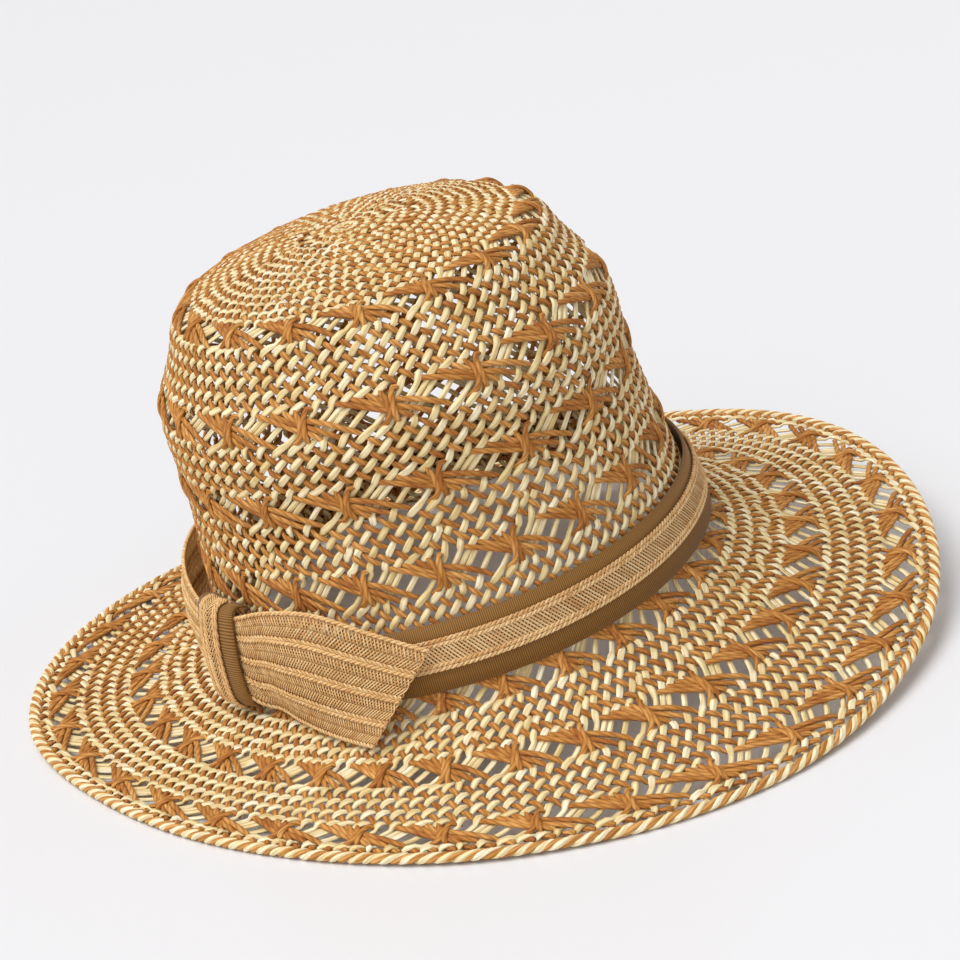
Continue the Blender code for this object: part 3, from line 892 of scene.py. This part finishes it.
def rim_frame(count):
    """Centres, outward sides and ups of the rope along the rim, which lies where the plaited rim is."""
    angles = np.linspace(0.0, 2.0 * math.pi, count)
    middle = 1.0 - 0.5 * RIM_WIDTH / brim_width(angles)
    centres = brim_point(middle, angles)
    along = brim_point(middle, angles + STEP) - centres
    ups = np.tile(np.array([0.0, 0.0, 1.0]), (count, 1))
    sides = np.cross(along, ups)
    sides /= np.linalg.norm(sides, axis=1, keepdims=True)
    lowest = brim_point(1.0, angles)[:, 2] - 0.5 * RIM_WIDTH
    centres[:, 2] = lowest + 0.5 * RIM_THICKNESS
    return centres, sides, ups


def facing(points_of, u, v):
    """Points of a surface given as a function of two places, and unit normals away from the hat's upright axis."""
    points = points_of(u, v)
    inner = np.minimum(u, 1.0 - 2.0 * STEP)
    corner = points_of(inner, v)
    normals = np.cross(points_of(inner + STEP, v) - corner, points_of(inner, v + STEP) - corner)
    normals /= np.linalg.norm(normals, axis=-1, keepdims=True)
    away = points * np.array([1.0, 1.0, 0.0]) + np.array([0.0, 0.0, 0.02])
    turned = np.where((normals * away).sum(axis=-1) < 0.0, -1.0, 1.0)
    return points, normals * turned[..., None]


def band_point(stand):
    """Surface round the foot of the crown: turns round the hat and height in metres."""
    def place(u, v):
        angle = u * 2.0 * math.pi
        return off_crown(v, angle, stand + band_stand(angle))
    return place


def bow_point(rows):
    """Surface of one half of the bow: share of its length and share across from the upper edge."""
    def place(u, v):
        columns = open_rows(rows, u)
        upper_turn, lower_turn, upper, lower, rise, swell = np.moveaxis(columns, -1, 0)
        upper_angle = KNOT_ANGLE + np.radians(upper_turn)
        lower_angle = KNOT_ANGLE + np.radians(lower_turn)
        stand = BOW_STAND + rise * RIBBON_WIDTH
        brim_stand = np.full_like(stand, BOW_BRIM_STAND)
        top = off_hat(upper * RIBBON_WIDTH, upper_angle, stand, brim_stand)
        bottom = off_hat(lower * RIBBON_WIDTH, lower_angle, stand, brim_stand)
        middle_angle = 0.5 * (upper_angle + lower_angle)
        away = outward(crown_point, np.full_like(stand, BOW_FACES), middle_angle, 1.0)
        ridge = -BOW_RIDGE_SHARE * BOW_RIDGE * np.cos(2.0 * math.pi * BOW_BRAIDS * v)
        bulge = swell * np.linalg.norm(bottom - top, axis=-1) * 4.0 * v * (1.0 - v)
        share = np.asarray(v, float)[..., None]
        return top + (bottom - top) * share + away * (ridge + bulge)[..., None]
    return place


def knot_point(raise_by):
    """Surface of the knot's wrap: share of its length and place across in metres."""
    shares = np.linspace(0.0, 1.0, KNOT_POINTS)
    dense = open_rows(KNOT_ROWS, shares) * RIBBON_WIDTH
    tangent = np.gradient(dense, axis=0)
    tangent /= np.linalg.norm(tangent, axis=1, keepdims=True)
    normal = np.stack([-tangent[:, 1], tangent[:, 0]], 1)
    if ((dense - dense.mean(axis=0)) * normal).sum() < 0.0:
        normal = -normal
    line = dense + normal * raise_by

    def place(u, v):
        stand = np.interp(u, shares, line[:, 0])
        height = np.interp(u, shares, line[:, 1])
        angle = KNOT_ANGLE + v / HEAD_HALF_WIDTH
        swing = KNOT_ROUNDING * (2.0 * v / KNOT_WIDTH) ** 2
        out = np.maximum(stand - swing * np.minimum(1.0, stand / (KNOT_ROUNDED_FROM * RIBBON_WIDTH)), stand - swing)
        return off_crown(height, angle, 0.5 * WALL + FIT_GAP + out)
    return place


def ribbon_piece(name, points_of, u_range, v_range, cells, ribs, rib_height, closed, surface, thickness):
    """Ribbed ribbon from a grid laid on a surface, thickened by a Solidify modifier."""
    built = bmesh.new()
    bmesh.ops.create_grid(built, x_segments=cells[0], y_segments=cells[1], size=0.5)
    built.verts.ensure_lookup_table()
    flat = np.array([v.co for v in built.verts])
    u_share, v_share = flat[:, 0] + 0.5, flat[:, 1] + 0.5
    u = u_range[0] + (u_range[1] - u_range[0]) * u_share
    v = v_range[0] + (v_range[1] - v_range[0]) * v_share
    points, normals = facing(points_of, u, v)
    wave = np.cos(2.0 * math.pi * ribs * u_share)
    edge = np.clip(np.minimum(v_share, 1.0 - v_share) * RIB_RISE, RIB_AT_EDGE, 1.0)
    points = points + normals * (wave * rib_height * edge)[:, None]
    layer = built.loops.layers.uv.new("run")
    for face in built.faces:
        for loop in face.loops:
            at = loop.vert.index
            loop[layer].uv = (u_share[at], v_share[at])
    for vertex, point in zip(built.verts, points):
        vertex.co = point
    if closed:
        bmesh.ops.remove_doubles(built, verts=built.verts[:], dist=1.0e-6)
    built.normal_update()
    total = sum(f.normal.dot(Vector((f.calc_center_median().x, f.calc_center_median().y, 0.0))) for f in built.faces)
    if total < 0.0:
        bmesh.ops.reverse_faces(built, faces=built.faces[:])
    mesh = bpy.data.meshes.new(name)
    built.to_mesh(mesh)
    built.free()
    mesh.shade_smooth()
    mesh.materials.append(surface)
    made = bpy.data.objects.new(name, mesh)
    bpy.context.scene.collection.objects.link(made)
    wall = made.modifiers.new("wall", "SOLIDIFY")
    wall.thickness = thickness
    wall.offset = -1.0
    return made


def slanted_lines(points_of, u_pitch, v_from, v_to, u_from, u_to, lean, lift, ends_down, rings):
    """Short strands that slant across a braid, one every u_pitch, lifted in the middle and tucked at the ends."""
    lines = []
    share = np.linspace(0.0, 1.0, rings)
    hump = np.sin(math.pi * share)
    count = int(round((u_to - u_from) / u_pitch))
    for number in range(count):
        start = u_from + (number + 0.5) * (u_to - u_from) / count
        u = np.clip(start + lean * (share - 0.5), u_from, u_to)
        v = v_from + (v_to - v_from) * share
        points, normals = facing(points_of, u, v)
        lines.append((points + normals * (lift + ends_down * (hump - 1.0))[:, None], normals))
    return lines


def edge_rope(kind, points_of, ends, v, length, pitch, lag=0.0):
    """Two plies of a rope along a braid's edge or seam."""
    wide, high, stand = braid_sizes(kind)["lay"]
    twists = int(length / pitch)
    count = abs(twists) * ROPE_POINTS + 1
    u = np.linspace(*ends, count)
    points, normals = facing(points_of, u, np.full(count, v))
    along = np.gradient(points, axis=0)
    sides = np.cross(along, normals)
    sides /= np.linalg.norm(sides, axis=1, keepdims=True)
    return rope_lines(points + normals * stand, sides, normals, 2, twists, wide, high, lag)


def linear(hex_colour):
    """Linear colour of an sRGB hex value."""
    text = hex_colour.lstrip("#")
    channels = [int(text[at : at + 2], 16) / 255.0 for at in (0, 2, 4)]
    turned = [c / 12.92 if c <= 0.04045 else ((c + 0.055) / 1.055) ** 2.4 for c in channels]
    return (*turned, 1.0)


def node(tree, kind, links=(), values=None, **settings):
    """Node with its settings, the values of its sockets and the links into them."""
    made = tree.nodes.new(kind)
    for key, value in settings.items():
        if hasattr(made, key):
            setattr(made, key, value)
        else:
            made.inputs[key].default_value = value
    for socket, value in (values or {}).items():
        made.inputs[socket].default_value = value
    for socket, source in links:
        tree.links.new(source, made.inputs[socket])
    return made


def new_material(name, roughness, specular):
    """Empty Principled material with its tree and shader."""
    made = bpy.data.materials.new(name)
    made.use_nodes = True
    shader = made.node_tree.nodes["Principled BSDF"]
    shader.inputs["Roughness"].default_value = roughness
    shader.inputs["Specular IOR Level"].default_value = specular
    return made, made.node_tree, shader


def ramp(tree, source, stops):
    """Colour ramp over stops of place and hex colour."""
    made = tree.nodes.new("ShaderNodeValToRGB")
    elements = made.color_ramp.elements
    while len(elements) < len(stops):
        elements.new(0.5)
    for element, (place, colour) in zip(elements, stops):
        element.position = place
        element.color = linear(colour)
    tree.links.new(source, made.inputs["Fac"])
    return made


def along_strand(tree, fibres, twist):
    """Slow mottling along a strand with its tone, and the ridge of its fibre lines with their slight twist."""
    uv = node(tree, "ShaderNodeUVMap", uv_map="run")
    tone = node(tree, "ShaderNodeAttribute", attribute_name="tone")
    split = node(tree, "ShaderNodeSeparateXYZ", [("Vector", uv.outputs["UV"])])
    slow_place = node(tree, "ShaderNodeCombineXYZ", [("X", split.outputs["X"]), ("Y", tone.outputs["Fac"])])
    slow = node(tree, "ShaderNodeTexNoise", [("Vector", slow_place.outputs["Vector"])], Scale=120.0, Detail=3.0)
    turned = node(tree, "ShaderNodeMath", [(0, split.outputs["X"])], {1: twist}, operation="MULTIPLY")
    spiral = node(tree, "ShaderNodeMath", [(0, split.outputs["Y"]), (1, turned.outputs[0])], operation="ADD")
    fibre_place = node(tree, "ShaderNodeCombineXYZ", [("X", split.outputs["X"]), ("Y", spiral.outputs[0])])
    stretch = node(tree, "ShaderNodeMapping", [("Vector", fibre_place.outputs["Vector"])],
                   {"Scale": (180.0, fibres * 1.7, 1.0)}, vector_type="POINT")
    fine = node(tree, "ShaderNodeTexNoise", [("Vector", stretch.outputs["Vector"])], Scale=1.0, Detail=4.0)
    lines = node(tree, "ShaderNodeMath", [(0, spiral.outputs[0])], {1: fibres * 2.0 * math.pi}, operation="MULTIPLY")
    warped = node(tree, "ShaderNodeMath", [(0, fine.outputs["Fac"]), (2, lines.outputs[0])], {1: 5.0},
                  operation="MULTIPLY_ADD")
    wave = node(tree, "ShaderNodeMath", [(0, warped.outputs[0])], operation="SINE")
    ridge = node(tree, "ShaderNodeMapRange", [("Value", wave.outputs[0])], {"From Min": -1.0, "From Max": 0.35})
    mixed = node(tree, "ShaderNodeMath", [(0, tone.outputs["Fac"]), (2, slow.outputs["Fac"])], {1: 0.14},
                 operation="MULTIPLY_ADD")
    return mixed.outputs[0], ridge.outputs["Result"]


def strand_material(name, dark, middle, light, groove_shade, depth, fibres, twist, roughness, bump_depth):
    """Strand of straw: tone by strand, slow mottling, and fibre lines that run along it, with painted shade darkening
    the grooves between them.
    """
    made, tree, shader = new_material(name, roughness, 0.3)
    mottle, ridge = along_strand(tree, fibres, twist)
    colour = ramp(tree, mottle, ((0.28, dark), (0.50, middle), (0.74, light)))
    # Painted shade: where the fibre ridge is low, the colour is mixed towards the darker groove colour
    groove_shaded = node(tree, "ShaderNodeMix", [("A", colour.outputs["Color"])], {"Factor": depth, "B": linear(groove_shade)},
                data_type="RGBA")
    shade = node(tree, "ShaderNodeMix",
                 [("A", groove_shaded.outputs["Result"]), ("B", colour.outputs["Color"]), ("Factor", ridge)],
                 data_type="RGBA")
    tree.links.new(shade.outputs["Result"], shader.inputs["Base Color"])
    bump = node(tree, "ShaderNodeBump", [("Height", ridge)], {"Strength": 0.7, "Distance": bump_depth})
    tree.links.new(bump.outputs["Normal"], shader.inputs["Normal"])
    return made


def brown_cord(name, colour):
    """Twisted paper cord: crushed fibre in two plies, dull, with lengthwise lines and painted shade in the grooves
    between them.
    """
    return strand_material(name, "#A8672B", colour, "#DEA45C", "#7A4418", 0.50, 4.0, 60.0, 0.75, 0.00018)


def pale_straw(name, colour):
    """Natural split straw: smooth and flattish, faintly striped along with painted shade in the grooves of its fibre
    lines, a little shiny where it turns.
    """
    return strand_material(name, "#E0C68A", colour, "#FDF3D3", "#B08D4C", 0.42, 4.0, 12.0, 0.55, 0.00008)


def fine_straw(name, colour):
    """Fine machine-plaited straw: thin even threads, peach-pale, almost matt."""
    # 9A6A36 is painted shade for the grooves between its fibre lines
    return strand_material(name, "#D3A368", colour, "#F4D6A2", "#9A6A36", 0.35, 3.0, 20.0, 0.62, 0.00005)


def ribbon_material(name, colour, ribs):
    """Grosgrain: fine warp threads drawn over thick weft ribs, a soft satin sheen, and painted highlight on the rib
    tops with painted shade between the ribs.
    """
    made, tree, shader = new_material(name, 0.62, 0.25)
    shader.inputs["Sheen Weight"].default_value = 0.12
    uv = node(tree, "ShaderNodeUVMap", uv_map="run")
    split = node(tree, "ShaderNodeSeparateXYZ", [("Vector", uv.outputs["UV"])])
    turned = node(tree, "ShaderNodeMath", [(0, split.outputs["X"])], {1: 2.0 * math.pi * ribs}, operation="MULTIPLY")
    wave = node(tree, "ShaderNodeMath", [(0, turned.outputs[0])], operation="COSINE")
    rib = node(tree, "ShaderNodeMapRange", [("Value", wave.outputs[0])], {"From Min": -1.0, "To Max": 0.75})
    threads = node(tree, "ShaderNodeMapping", [("Vector", uv.outputs["UV"])], {"Scale": (ribs * 0.5, 90.0, 1.0)},
                   vector_type="POINT")
    fine = node(tree, "ShaderNodeTexNoise", [("Vector", threads.outputs["Vector"])], Scale=1.0, Detail=2.0)
    mixed = node(tree, "ShaderNodeMath", [(0, fine.outputs["Fac"]), (2, rib.outputs["Result"])], {1: 0.25},
                 operation="MULTIPLY_ADD")
    # Painted light on the ribs: the rib wave turns the colour darker (#5A3B12) in the valleys as painted shade and
    # lighter (#A07439) on the tops as painted highlight, with fine thread noise
    shades = ramp(tree, mixed.outputs[0], ((0.10, "#5A3B12"), (0.50, colour), (0.95, "#A07439")))
    tree.links.new(shades.outputs["Color"], shader.inputs["Base Color"])
    bump = node(tree, "ShaderNodeBump", [("Height", mixed.outputs[0])], {"Strength": 0.6, "Distance": 0.00012})
    tree.links.new(bump.outputs["Normal"], shader.inputs["Normal"])
    return made


class HatWeaveSizes(bpy.types.PropertyGroup):
    """Sizes of the strands."""

    brown_width: bpy.props.FloatProperty(
        name="Brown strand width", description="Width of the twisted brown strand", default=0.00172, unit="LENGTH")
    brown_height: bpy.props.FloatProperty(
        name="Brown strand height", description="Height of the twisted brown strand", default=0.00125, unit="LENGTH")
    pale_width: bpy.props.FloatProperty(
        name="Pale strand width", description="Width of the flattish pale strand", default=0.00222, unit="LENGTH")
    pale_height: bpy.props.FloatProperty(
        name="Pale strand height", description="Height of the flattish pale strand", default=0.00085, unit="LENGTH")
    wave: bpy.props.FloatProperty(
        name="Wave", description="How far a strand goes over and under the middle of the wall", default=0.00052,
        unit="LENGTH")


class HatColours(bpy.types.PropertyGroup):
    """Colours as sRGB hex values."""

    brown: bpy.props.StringProperty(name="Brown strand", description="Twisted paper strand", default="#C5873F")
    pale: bpy.props.StringProperty(name="Pale strand", description="Natural pale strand", default="#F2DEAA")
    ribbon: bpy.props.StringProperty(name="Grosgrain", description="Ribbed ribbon", default="#875C22")
    braid: bpy.props.StringProperty(name="Braid", description="Fine straw braid", default="#EBC690")
    bow: bpy.props.StringProperty(name="Bow", description="Herringbone straw plait", default="#EBC083")
    floor: bpy.props.StringProperty(name="Floor", description="Pale studio floor", default="#E4E4E6")


def settings():
    """The hat's sizes and colours."""
    scene = bpy.context.scene
    return scene.hat_weave, scene.hat_colours


def random_tones(count, seed):
    """Repeatable tones from -1 to 1."""
    return np.random.default_rng(seed).uniform(-1.0, 1.0, count)


def dress(piece, nodes):
    """Tie a piece to the fixed model and the nodes of it that it replaces."""
    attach(piece, "root")
    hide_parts(*nodes)


def weave(brown, surface, width, height, seed, power):
    """Strands of one colour, as a piece for the crown and one for the brim; a low power makes them squarer."""
    sizes, _ = settings()
    strands = all_strands(brown, sizes.wave)
    tones = random_tones(len(strands) + START_STRANDS, seed)
    for part, first, last, has_middle in WEAVE_PARTS:
        lines = strand_lines(strands, first, last)
        if has_middle:
            lines += start_lines(brown, sizes.wave)
        name = f"{part}_{'brown' if brown else 'pale'}_strands"
        dress(sweep(name, lines, 0.5 * width, 0.5 * height, STRAND_SIDES, surface, tones, power),
              ("crown_and_brim",))


class HAT_OT_brown_weave(bpy.types.Operator):
    """Weave the brown strands of the tip, crown and brim, with their stars"""

    bl_idname = "hat.brown_weave"
    bl_label = "Brown weave"

    def execute(self, context):
        sizes, colours = settings()
        surface = brown_cord("Twisted_paper_cord_brown", colours.brown)
        weave(True, surface, sizes.brown_width, sizes.brown_height, 11, 1.0)
        return {"FINISHED"}


class HAT_OT_pale_weave(bpy.types.Operator):
    """Weave the pale strands of the tip, crown and brim"""

    bl_idname = "hat.pale_weave"
    bl_label = "Pale weave"

    def execute(self, context):
        sizes, colours = settings()
        surface = pale_straw("Natural_straw_strand_pale", colours.pale)
        weave(False, surface, sizes.pale_width, sizes.pale_height, 23, 0.8)
        return {"FINISHED"}


class HAT_OT_rim(bpy.types.Operator):
    """Plait the rim: the ends of pale and brown strands worked back into a rope along the brim's edge"""

    bl_idname = "hat.rim"
    bl_label = "Plaited rim"

    def execute(self, context):
        _, colours = settings()
        # The same two strands as the weave, worked back into the edge
        surfaces = {
            True: brown_cord("Twisted_paper_cord_rim", colours.brown),
            False: pale_straw("Natural_straw_strand_rim", colours.pale),
        }
        frame_lines = rim_frame(RIM_TURNS * RIM_POINTS + 1)
        rope = rope_lines(*frame_lines, 4, RIM_TURNS, RIM_ROPE_WIDE, RIM_ROPE_HIGH, seed=3)
        tones = random_tones(8, 5)
        for name, is_brown, plies, thick in RIM_STRANDS:
            lines = [rope[ply] for ply in plies]
            dress(sweep(name, lines, RIM_FLATNESS * thick, thick, STRAND_SIDES, surfaces[is_brown], tones),
                  ("rim_plait",))
        return {"FINISHED"}


def braid_sizes(kind):
    """Sizes of one of the braids by their columns' names."""
    return dict(zip(BRAID_COLUMNS, BRAIDS[kind]))


def crossed_threads(kind, place, pitch, low, high, ends, lean):
    """Layers of threads that slant both ways across a strip of braid."""
    lines = []
    for way, lift, tuck, points in braid_sizes(kind)["layers"]:
        lines += slanted_lines(place, pitch, low, high, *ends, way * lean, lift, tuck, points)
    return lines


def dress_braid(kind, name, parts, lines, ropes, surface, seed, contrast):
    """A braid's threads and ropes as two pieces that replace the node of its name."""
    sizes = braid_sizes(kind)
    tones = contrast * random_tones(len(lines) + len(ropes), seed)
    for part, members, size, shades in (
        (parts[0], lines, sizes["thread"], tones[: len(lines)]),
        (parts[1], ropes, sizes["ply"], tones[len(lines) :]),
    ):
        dress(sweep(f"{name}_{part}", members, *size, THREAD_SIDES, surface, shades), (name,))


class HAT_OT_band(bpy.types.Operator):
    """Lay the grosgrain ribbon round the foot of the crown and the open straw braid over it"""

    bl_idname = "hat.band"
    bl_label = "Band"

    def execute(self, context):
        _, colours = settings()
        ribbon = ribbon_material("Grosgrain_ribbon", colours.ribbon, BAND_RIBS)
        piece = ribbon_piece(
            "band_grosgrain", band_point(BAND_FACE), (0.0, 1.0), (RIBBON_FOOT, RIBBON_FOOT + RIBBON_WIDTH),
            (2 * BAND_RIBS, 4), BAND_RIBS, BAND_RIB_HEIGHT, True, ribbon, RIBBON_THICKNESS)
        dress(piece, ("band_ribbon",))
        braid = fine_straw("Fine_straw_plait", colours.braid)
        place = band_point(BAND_FACE + FIT_GAP)
        low, high = BRAID_FOOT, BRAID_FOOT + BRAID_WIDTH
        lines = crossed_threads(
            "band", place, BRAID_PITCH / BAND_LENGTH, low + BRAID_MARGIN, high - BRAID_MARGIN, (0.0, 1.0),
            BRAID_LEAN / BAND_LENGTH)
        ropes = []
        for inset, low_lag, high_lag in BRAID_ROPES:
            for edge, lag in ((low + inset, low_lag), (high - inset, high_lag)):
                ropes += edge_rope("band", place, (0.0, 1.0), edge, BAND_LENGTH, BRAID_ROPE_PITCH, lag)
        dress_braid("band", "band_braid", ("mesh", "edges"), lines, ropes, braid, 31, 1.0)
        return {"FINISHED"}


def herringbone(rows, length):
    """Crossing threads of the open plait in each braid of one half of the bow, and the raised ropes of its seams."""
    lines, ropes = [], []
    place = bow_point(rows)
    for braid in range(BOW_BRAIDS):
        low, high = (braid + BOW_SEAM) / BOW_BRAIDS, (braid + 1.0 - BOW_SEAM) / BOW_BRAIDS
        middle = 0.5 * (low + high)
        for v_from, v_to, way in ((low, middle, 1.0), (middle, high, -1.0)):
            lines += crossed_threads(
                "bow", place, BOW_PITCH / length, v_from, v_to, (0.0, 1.0), way * BOW_LEAN / length)
    for seam in range(BOW_BRAIDS + 1):
        for side in (-1.0, 1.0):
            v = (seam + side * BOW_ROPE_PLACE * BOW_SEAM) / BOW_BRAIDS
            if 0.0 < v < 1.0:
                ropes += edge_rope("bow", place, (0.0, 1.0), v, length, side * BOW_ROPE_PITCH, BOW_ROPE_LAG * seam)
    return lines, ropes


class HAT_OT_bow(bpy.types.Operator):
    """Sew the bow: two halves of braid side by side, and the knot over its middle"""

    bl_idname = "hat.bow"
    bl_label = "Bow"

    def execute(self, context):
        _, colours = settings()
        braid = fine_straw("Herringbone_straw_plait", colours.bow)
        for name, rows, length in (
            ("bow_front", BOW_FRONT_ROWS, BOW_FRONT_LENGTH),
            ("bow_back", BOW_BACK_ROWS, BOW_BACK_LENGTH),
        ):
            lines, ropes = herringbone(rows, length)
            dress_braid("bow", name, ("plait", "seams"), lines, ropes, braid, 47, 0.5)
        ribbon = ribbon_material("Grosgrain_knot", colours.ribbon, KNOT_RIBS)
        half = 0.5 * KNOT_WIDTH
        piece = ribbon_piece(
            "knot_grosgrain", knot_point(0.5 * RIBBON_THICKNESS), (0.0, 1.0), (-half, half), (2 * KNOT_RIBS, 8),
            KNOT_RIBS, KNOT_RIB_HEIGHT, False, ribbon, RIBBON_THICKNESS)
        dress(piece, ("knot_ribbon",))
        place = knot_point(0.5 * RIBBON_THICKNESS + FIT_GAP)
        wide = 0.5 * BRAID_WIDTH
        lines = []
        for v_from, v_to, way in ((-KNOT_REACH * wide, 0.0, 1.0), (0.0, KNOT_REACH * wide, -1.0)):
            lines += crossed_threads("knot", place, KNOT_PITCH, v_from, v_to, KNOT_THREADS, way * KNOT_LEAN)
        ropes = []
        for v in KNOT_PLACES:
            ropes += edge_rope("knot", place, KNOT_ROPES, v * wide, KNOT_LENGTH, BOW_ROPE_PITCH)
        dress_braid("knot", "knot_braid", ("mesh", "edges"), lines, ropes, braid, 53, 0.5)
        return {"FINISHED"}


class HAT_OT_studio(bpy.types.Operator):
    """Set up the plain pale floor, the soft light and the camera at the photograph's angle"""

    bl_idname = "hat.studio"
    bl_label = "Studio"

    def execute(self, context):
        _, colours = settings()
        scene = context.scene
        floor_mesh = bpy.data.meshes.new("studio_floor")
        built = bmesh.new()
        bmesh.ops.create_grid(built, x_segments=1, y_segments=1, size=FLOOR_HALF_SIZE)
        built.to_mesh(floor_mesh)
        built.free()
        # Satin painted studio floor, which mirrors the straw faintly along the rim
        floor_surface, _, shader = new_material("Satin_studio_paint", 0.38, 0.5)
        shader.inputs["Base Color"].default_value = linear(colours.floor)
        floor_mesh.materials.append(floor_surface)
        floor = bpy.data.objects.new("studio_floor", floor_mesh)
        scene.collection.objects.link(floor)

        world = bpy.data.worlds.new("studio")
        scene.world = world
        world.use_nodes = True
        background = world.node_tree.nodes["Background"]
        background.inputs["Color"].default_value = linear(WORLD_COLOUR)
        background.inputs["Strength"].default_value = WORLD_STRENGTH
        # Plain display of the light, so that the straw keeps its warm colours
        scene.view_settings.view_transform = "Standard"

        # Large soft lights, even all over the floor: one high on the left, a weaker one in front
        for name, strength, spread, way in LIGHTS:
            light = bpy.data.lights.new(name, "SUN")
            light.energy = strength
            light.angle = math.radians(spread)
            holder = bpy.data.objects.new(name, light)
            holder.rotation_mode = "QUATERNION"
            holder.rotation_quaternion = Vector(way).to_track_quat("-Z", "Y")
            scene.collection.objects.link(holder)

        camera_data = bpy.data.cameras.new("photo_camera")
        camera = bpy.data.objects.new("photo_camera", camera_data)
        scene.collection.objects.link(camera)
        scene.camera = camera
        camera_data.sensor_fit = "HORIZONTAL"
        camera_data.sensor_width = SENSOR_WIDTH
        camera_data.lens = SENSOR_WIDTH * PHOTO_FOCUS / PHOTO_SIZE
        aim = np.array([-CENTRE[0], -CENTRE[1], CAMERA_HEIGHT])
        forward = np.array([0.0, math.cos(CAMERA_ELEVATION), -math.sin(CAMERA_ELEVATION)])
        plain_up = np.array([0.0, math.sin(CAMERA_ELEVATION), math.cos(CAMERA_ELEVATION)])
        right = np.array([1.0, 0.0, 0.0])
        turned_right = right * math.cos(CAMERA_ROLL) - plain_up * math.sin(CAMERA_ROLL)
        turned_up = right * math.sin(CAMERA_ROLL) + plain_up * math.cos(CAMERA_ROLL)
        turn = Matrix([[turned_right[i], turned_up[i], -forward[i]] for i in range(3)])
        camera.rotation_mode = "QUATERNION"
        camera.rotation_quaternion = turn.to_quaternion()
        camera.location = Vector(aim - forward * CAMERA_DISTANCE)
        camera_data.shift_x = (0.5 * PHOTO_SIZE - PHOTO_MIDDLE[0]) / PHOTO_SIZE
        camera_data.shift_y = (PHOTO_MIDDLE[1] - 0.5 * PHOTO_SIZE) / PHOTO_SIZE
        camera_data.clip_start, camera_data.clip_end = 0.05, 20.0
        return {"FINISHED"}


class HAT_PT_panel(bpy.types.Panel):
    """Sizes, colours and pieces of the hat"""

    bl_label = "Beach hat"
    bl_space_type = "VIEW_3D"
    bl_region_type = "UI"
    bl_category = "Beach hat"

    def draw(self, context):
        layout = self.layout
        for group in settings():
            for key in group.bl_rna.properties.keys():
                if key not in ("rna_type", "name"):
                    layout.prop(group, key)
        for piece in PIECES:
            layout.operator(piece.bl_idname)


PIECES = (HAT_OT_brown_weave, HAT_OT_pale_weave, HAT_OT_rim, HAT_OT_band, HAT_OT_bow, HAT_OT_studio)
GROUPS = {"hat_weave": HatWeaveSizes, "hat_colours": HatColours}


def register():
    """Register the hat's settings, pieces and panel."""
    for name, group in GROUPS.items():
        bpy.utils.register_class(group)
        setattr(bpy.types.Scene, name, bpy.props.PointerProperty(type=group))
    for piece in (*PIECES, HAT_PT_panel):
        bpy.utils.register_class(piece)


def unregister():
    """Take the hat's settings, pieces and panel away again."""
    for piece in (HAT_PT_panel, *reversed(PIECES)):
        bpy.utils.unregister_class(piece)
    for name, group in GROUPS.items():
        delattr(bpy.types.Scene, name)
        bpy.utils.unregister_class(group)


def main():
    """Make every piece and the stage."""
    register()
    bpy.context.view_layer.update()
    for piece in PIECES:
        group, name = piece.bl_idname.split(".")
        getattr(getattr(bpy.ops, group), name)()


if __name__ == "__main__":
    main()
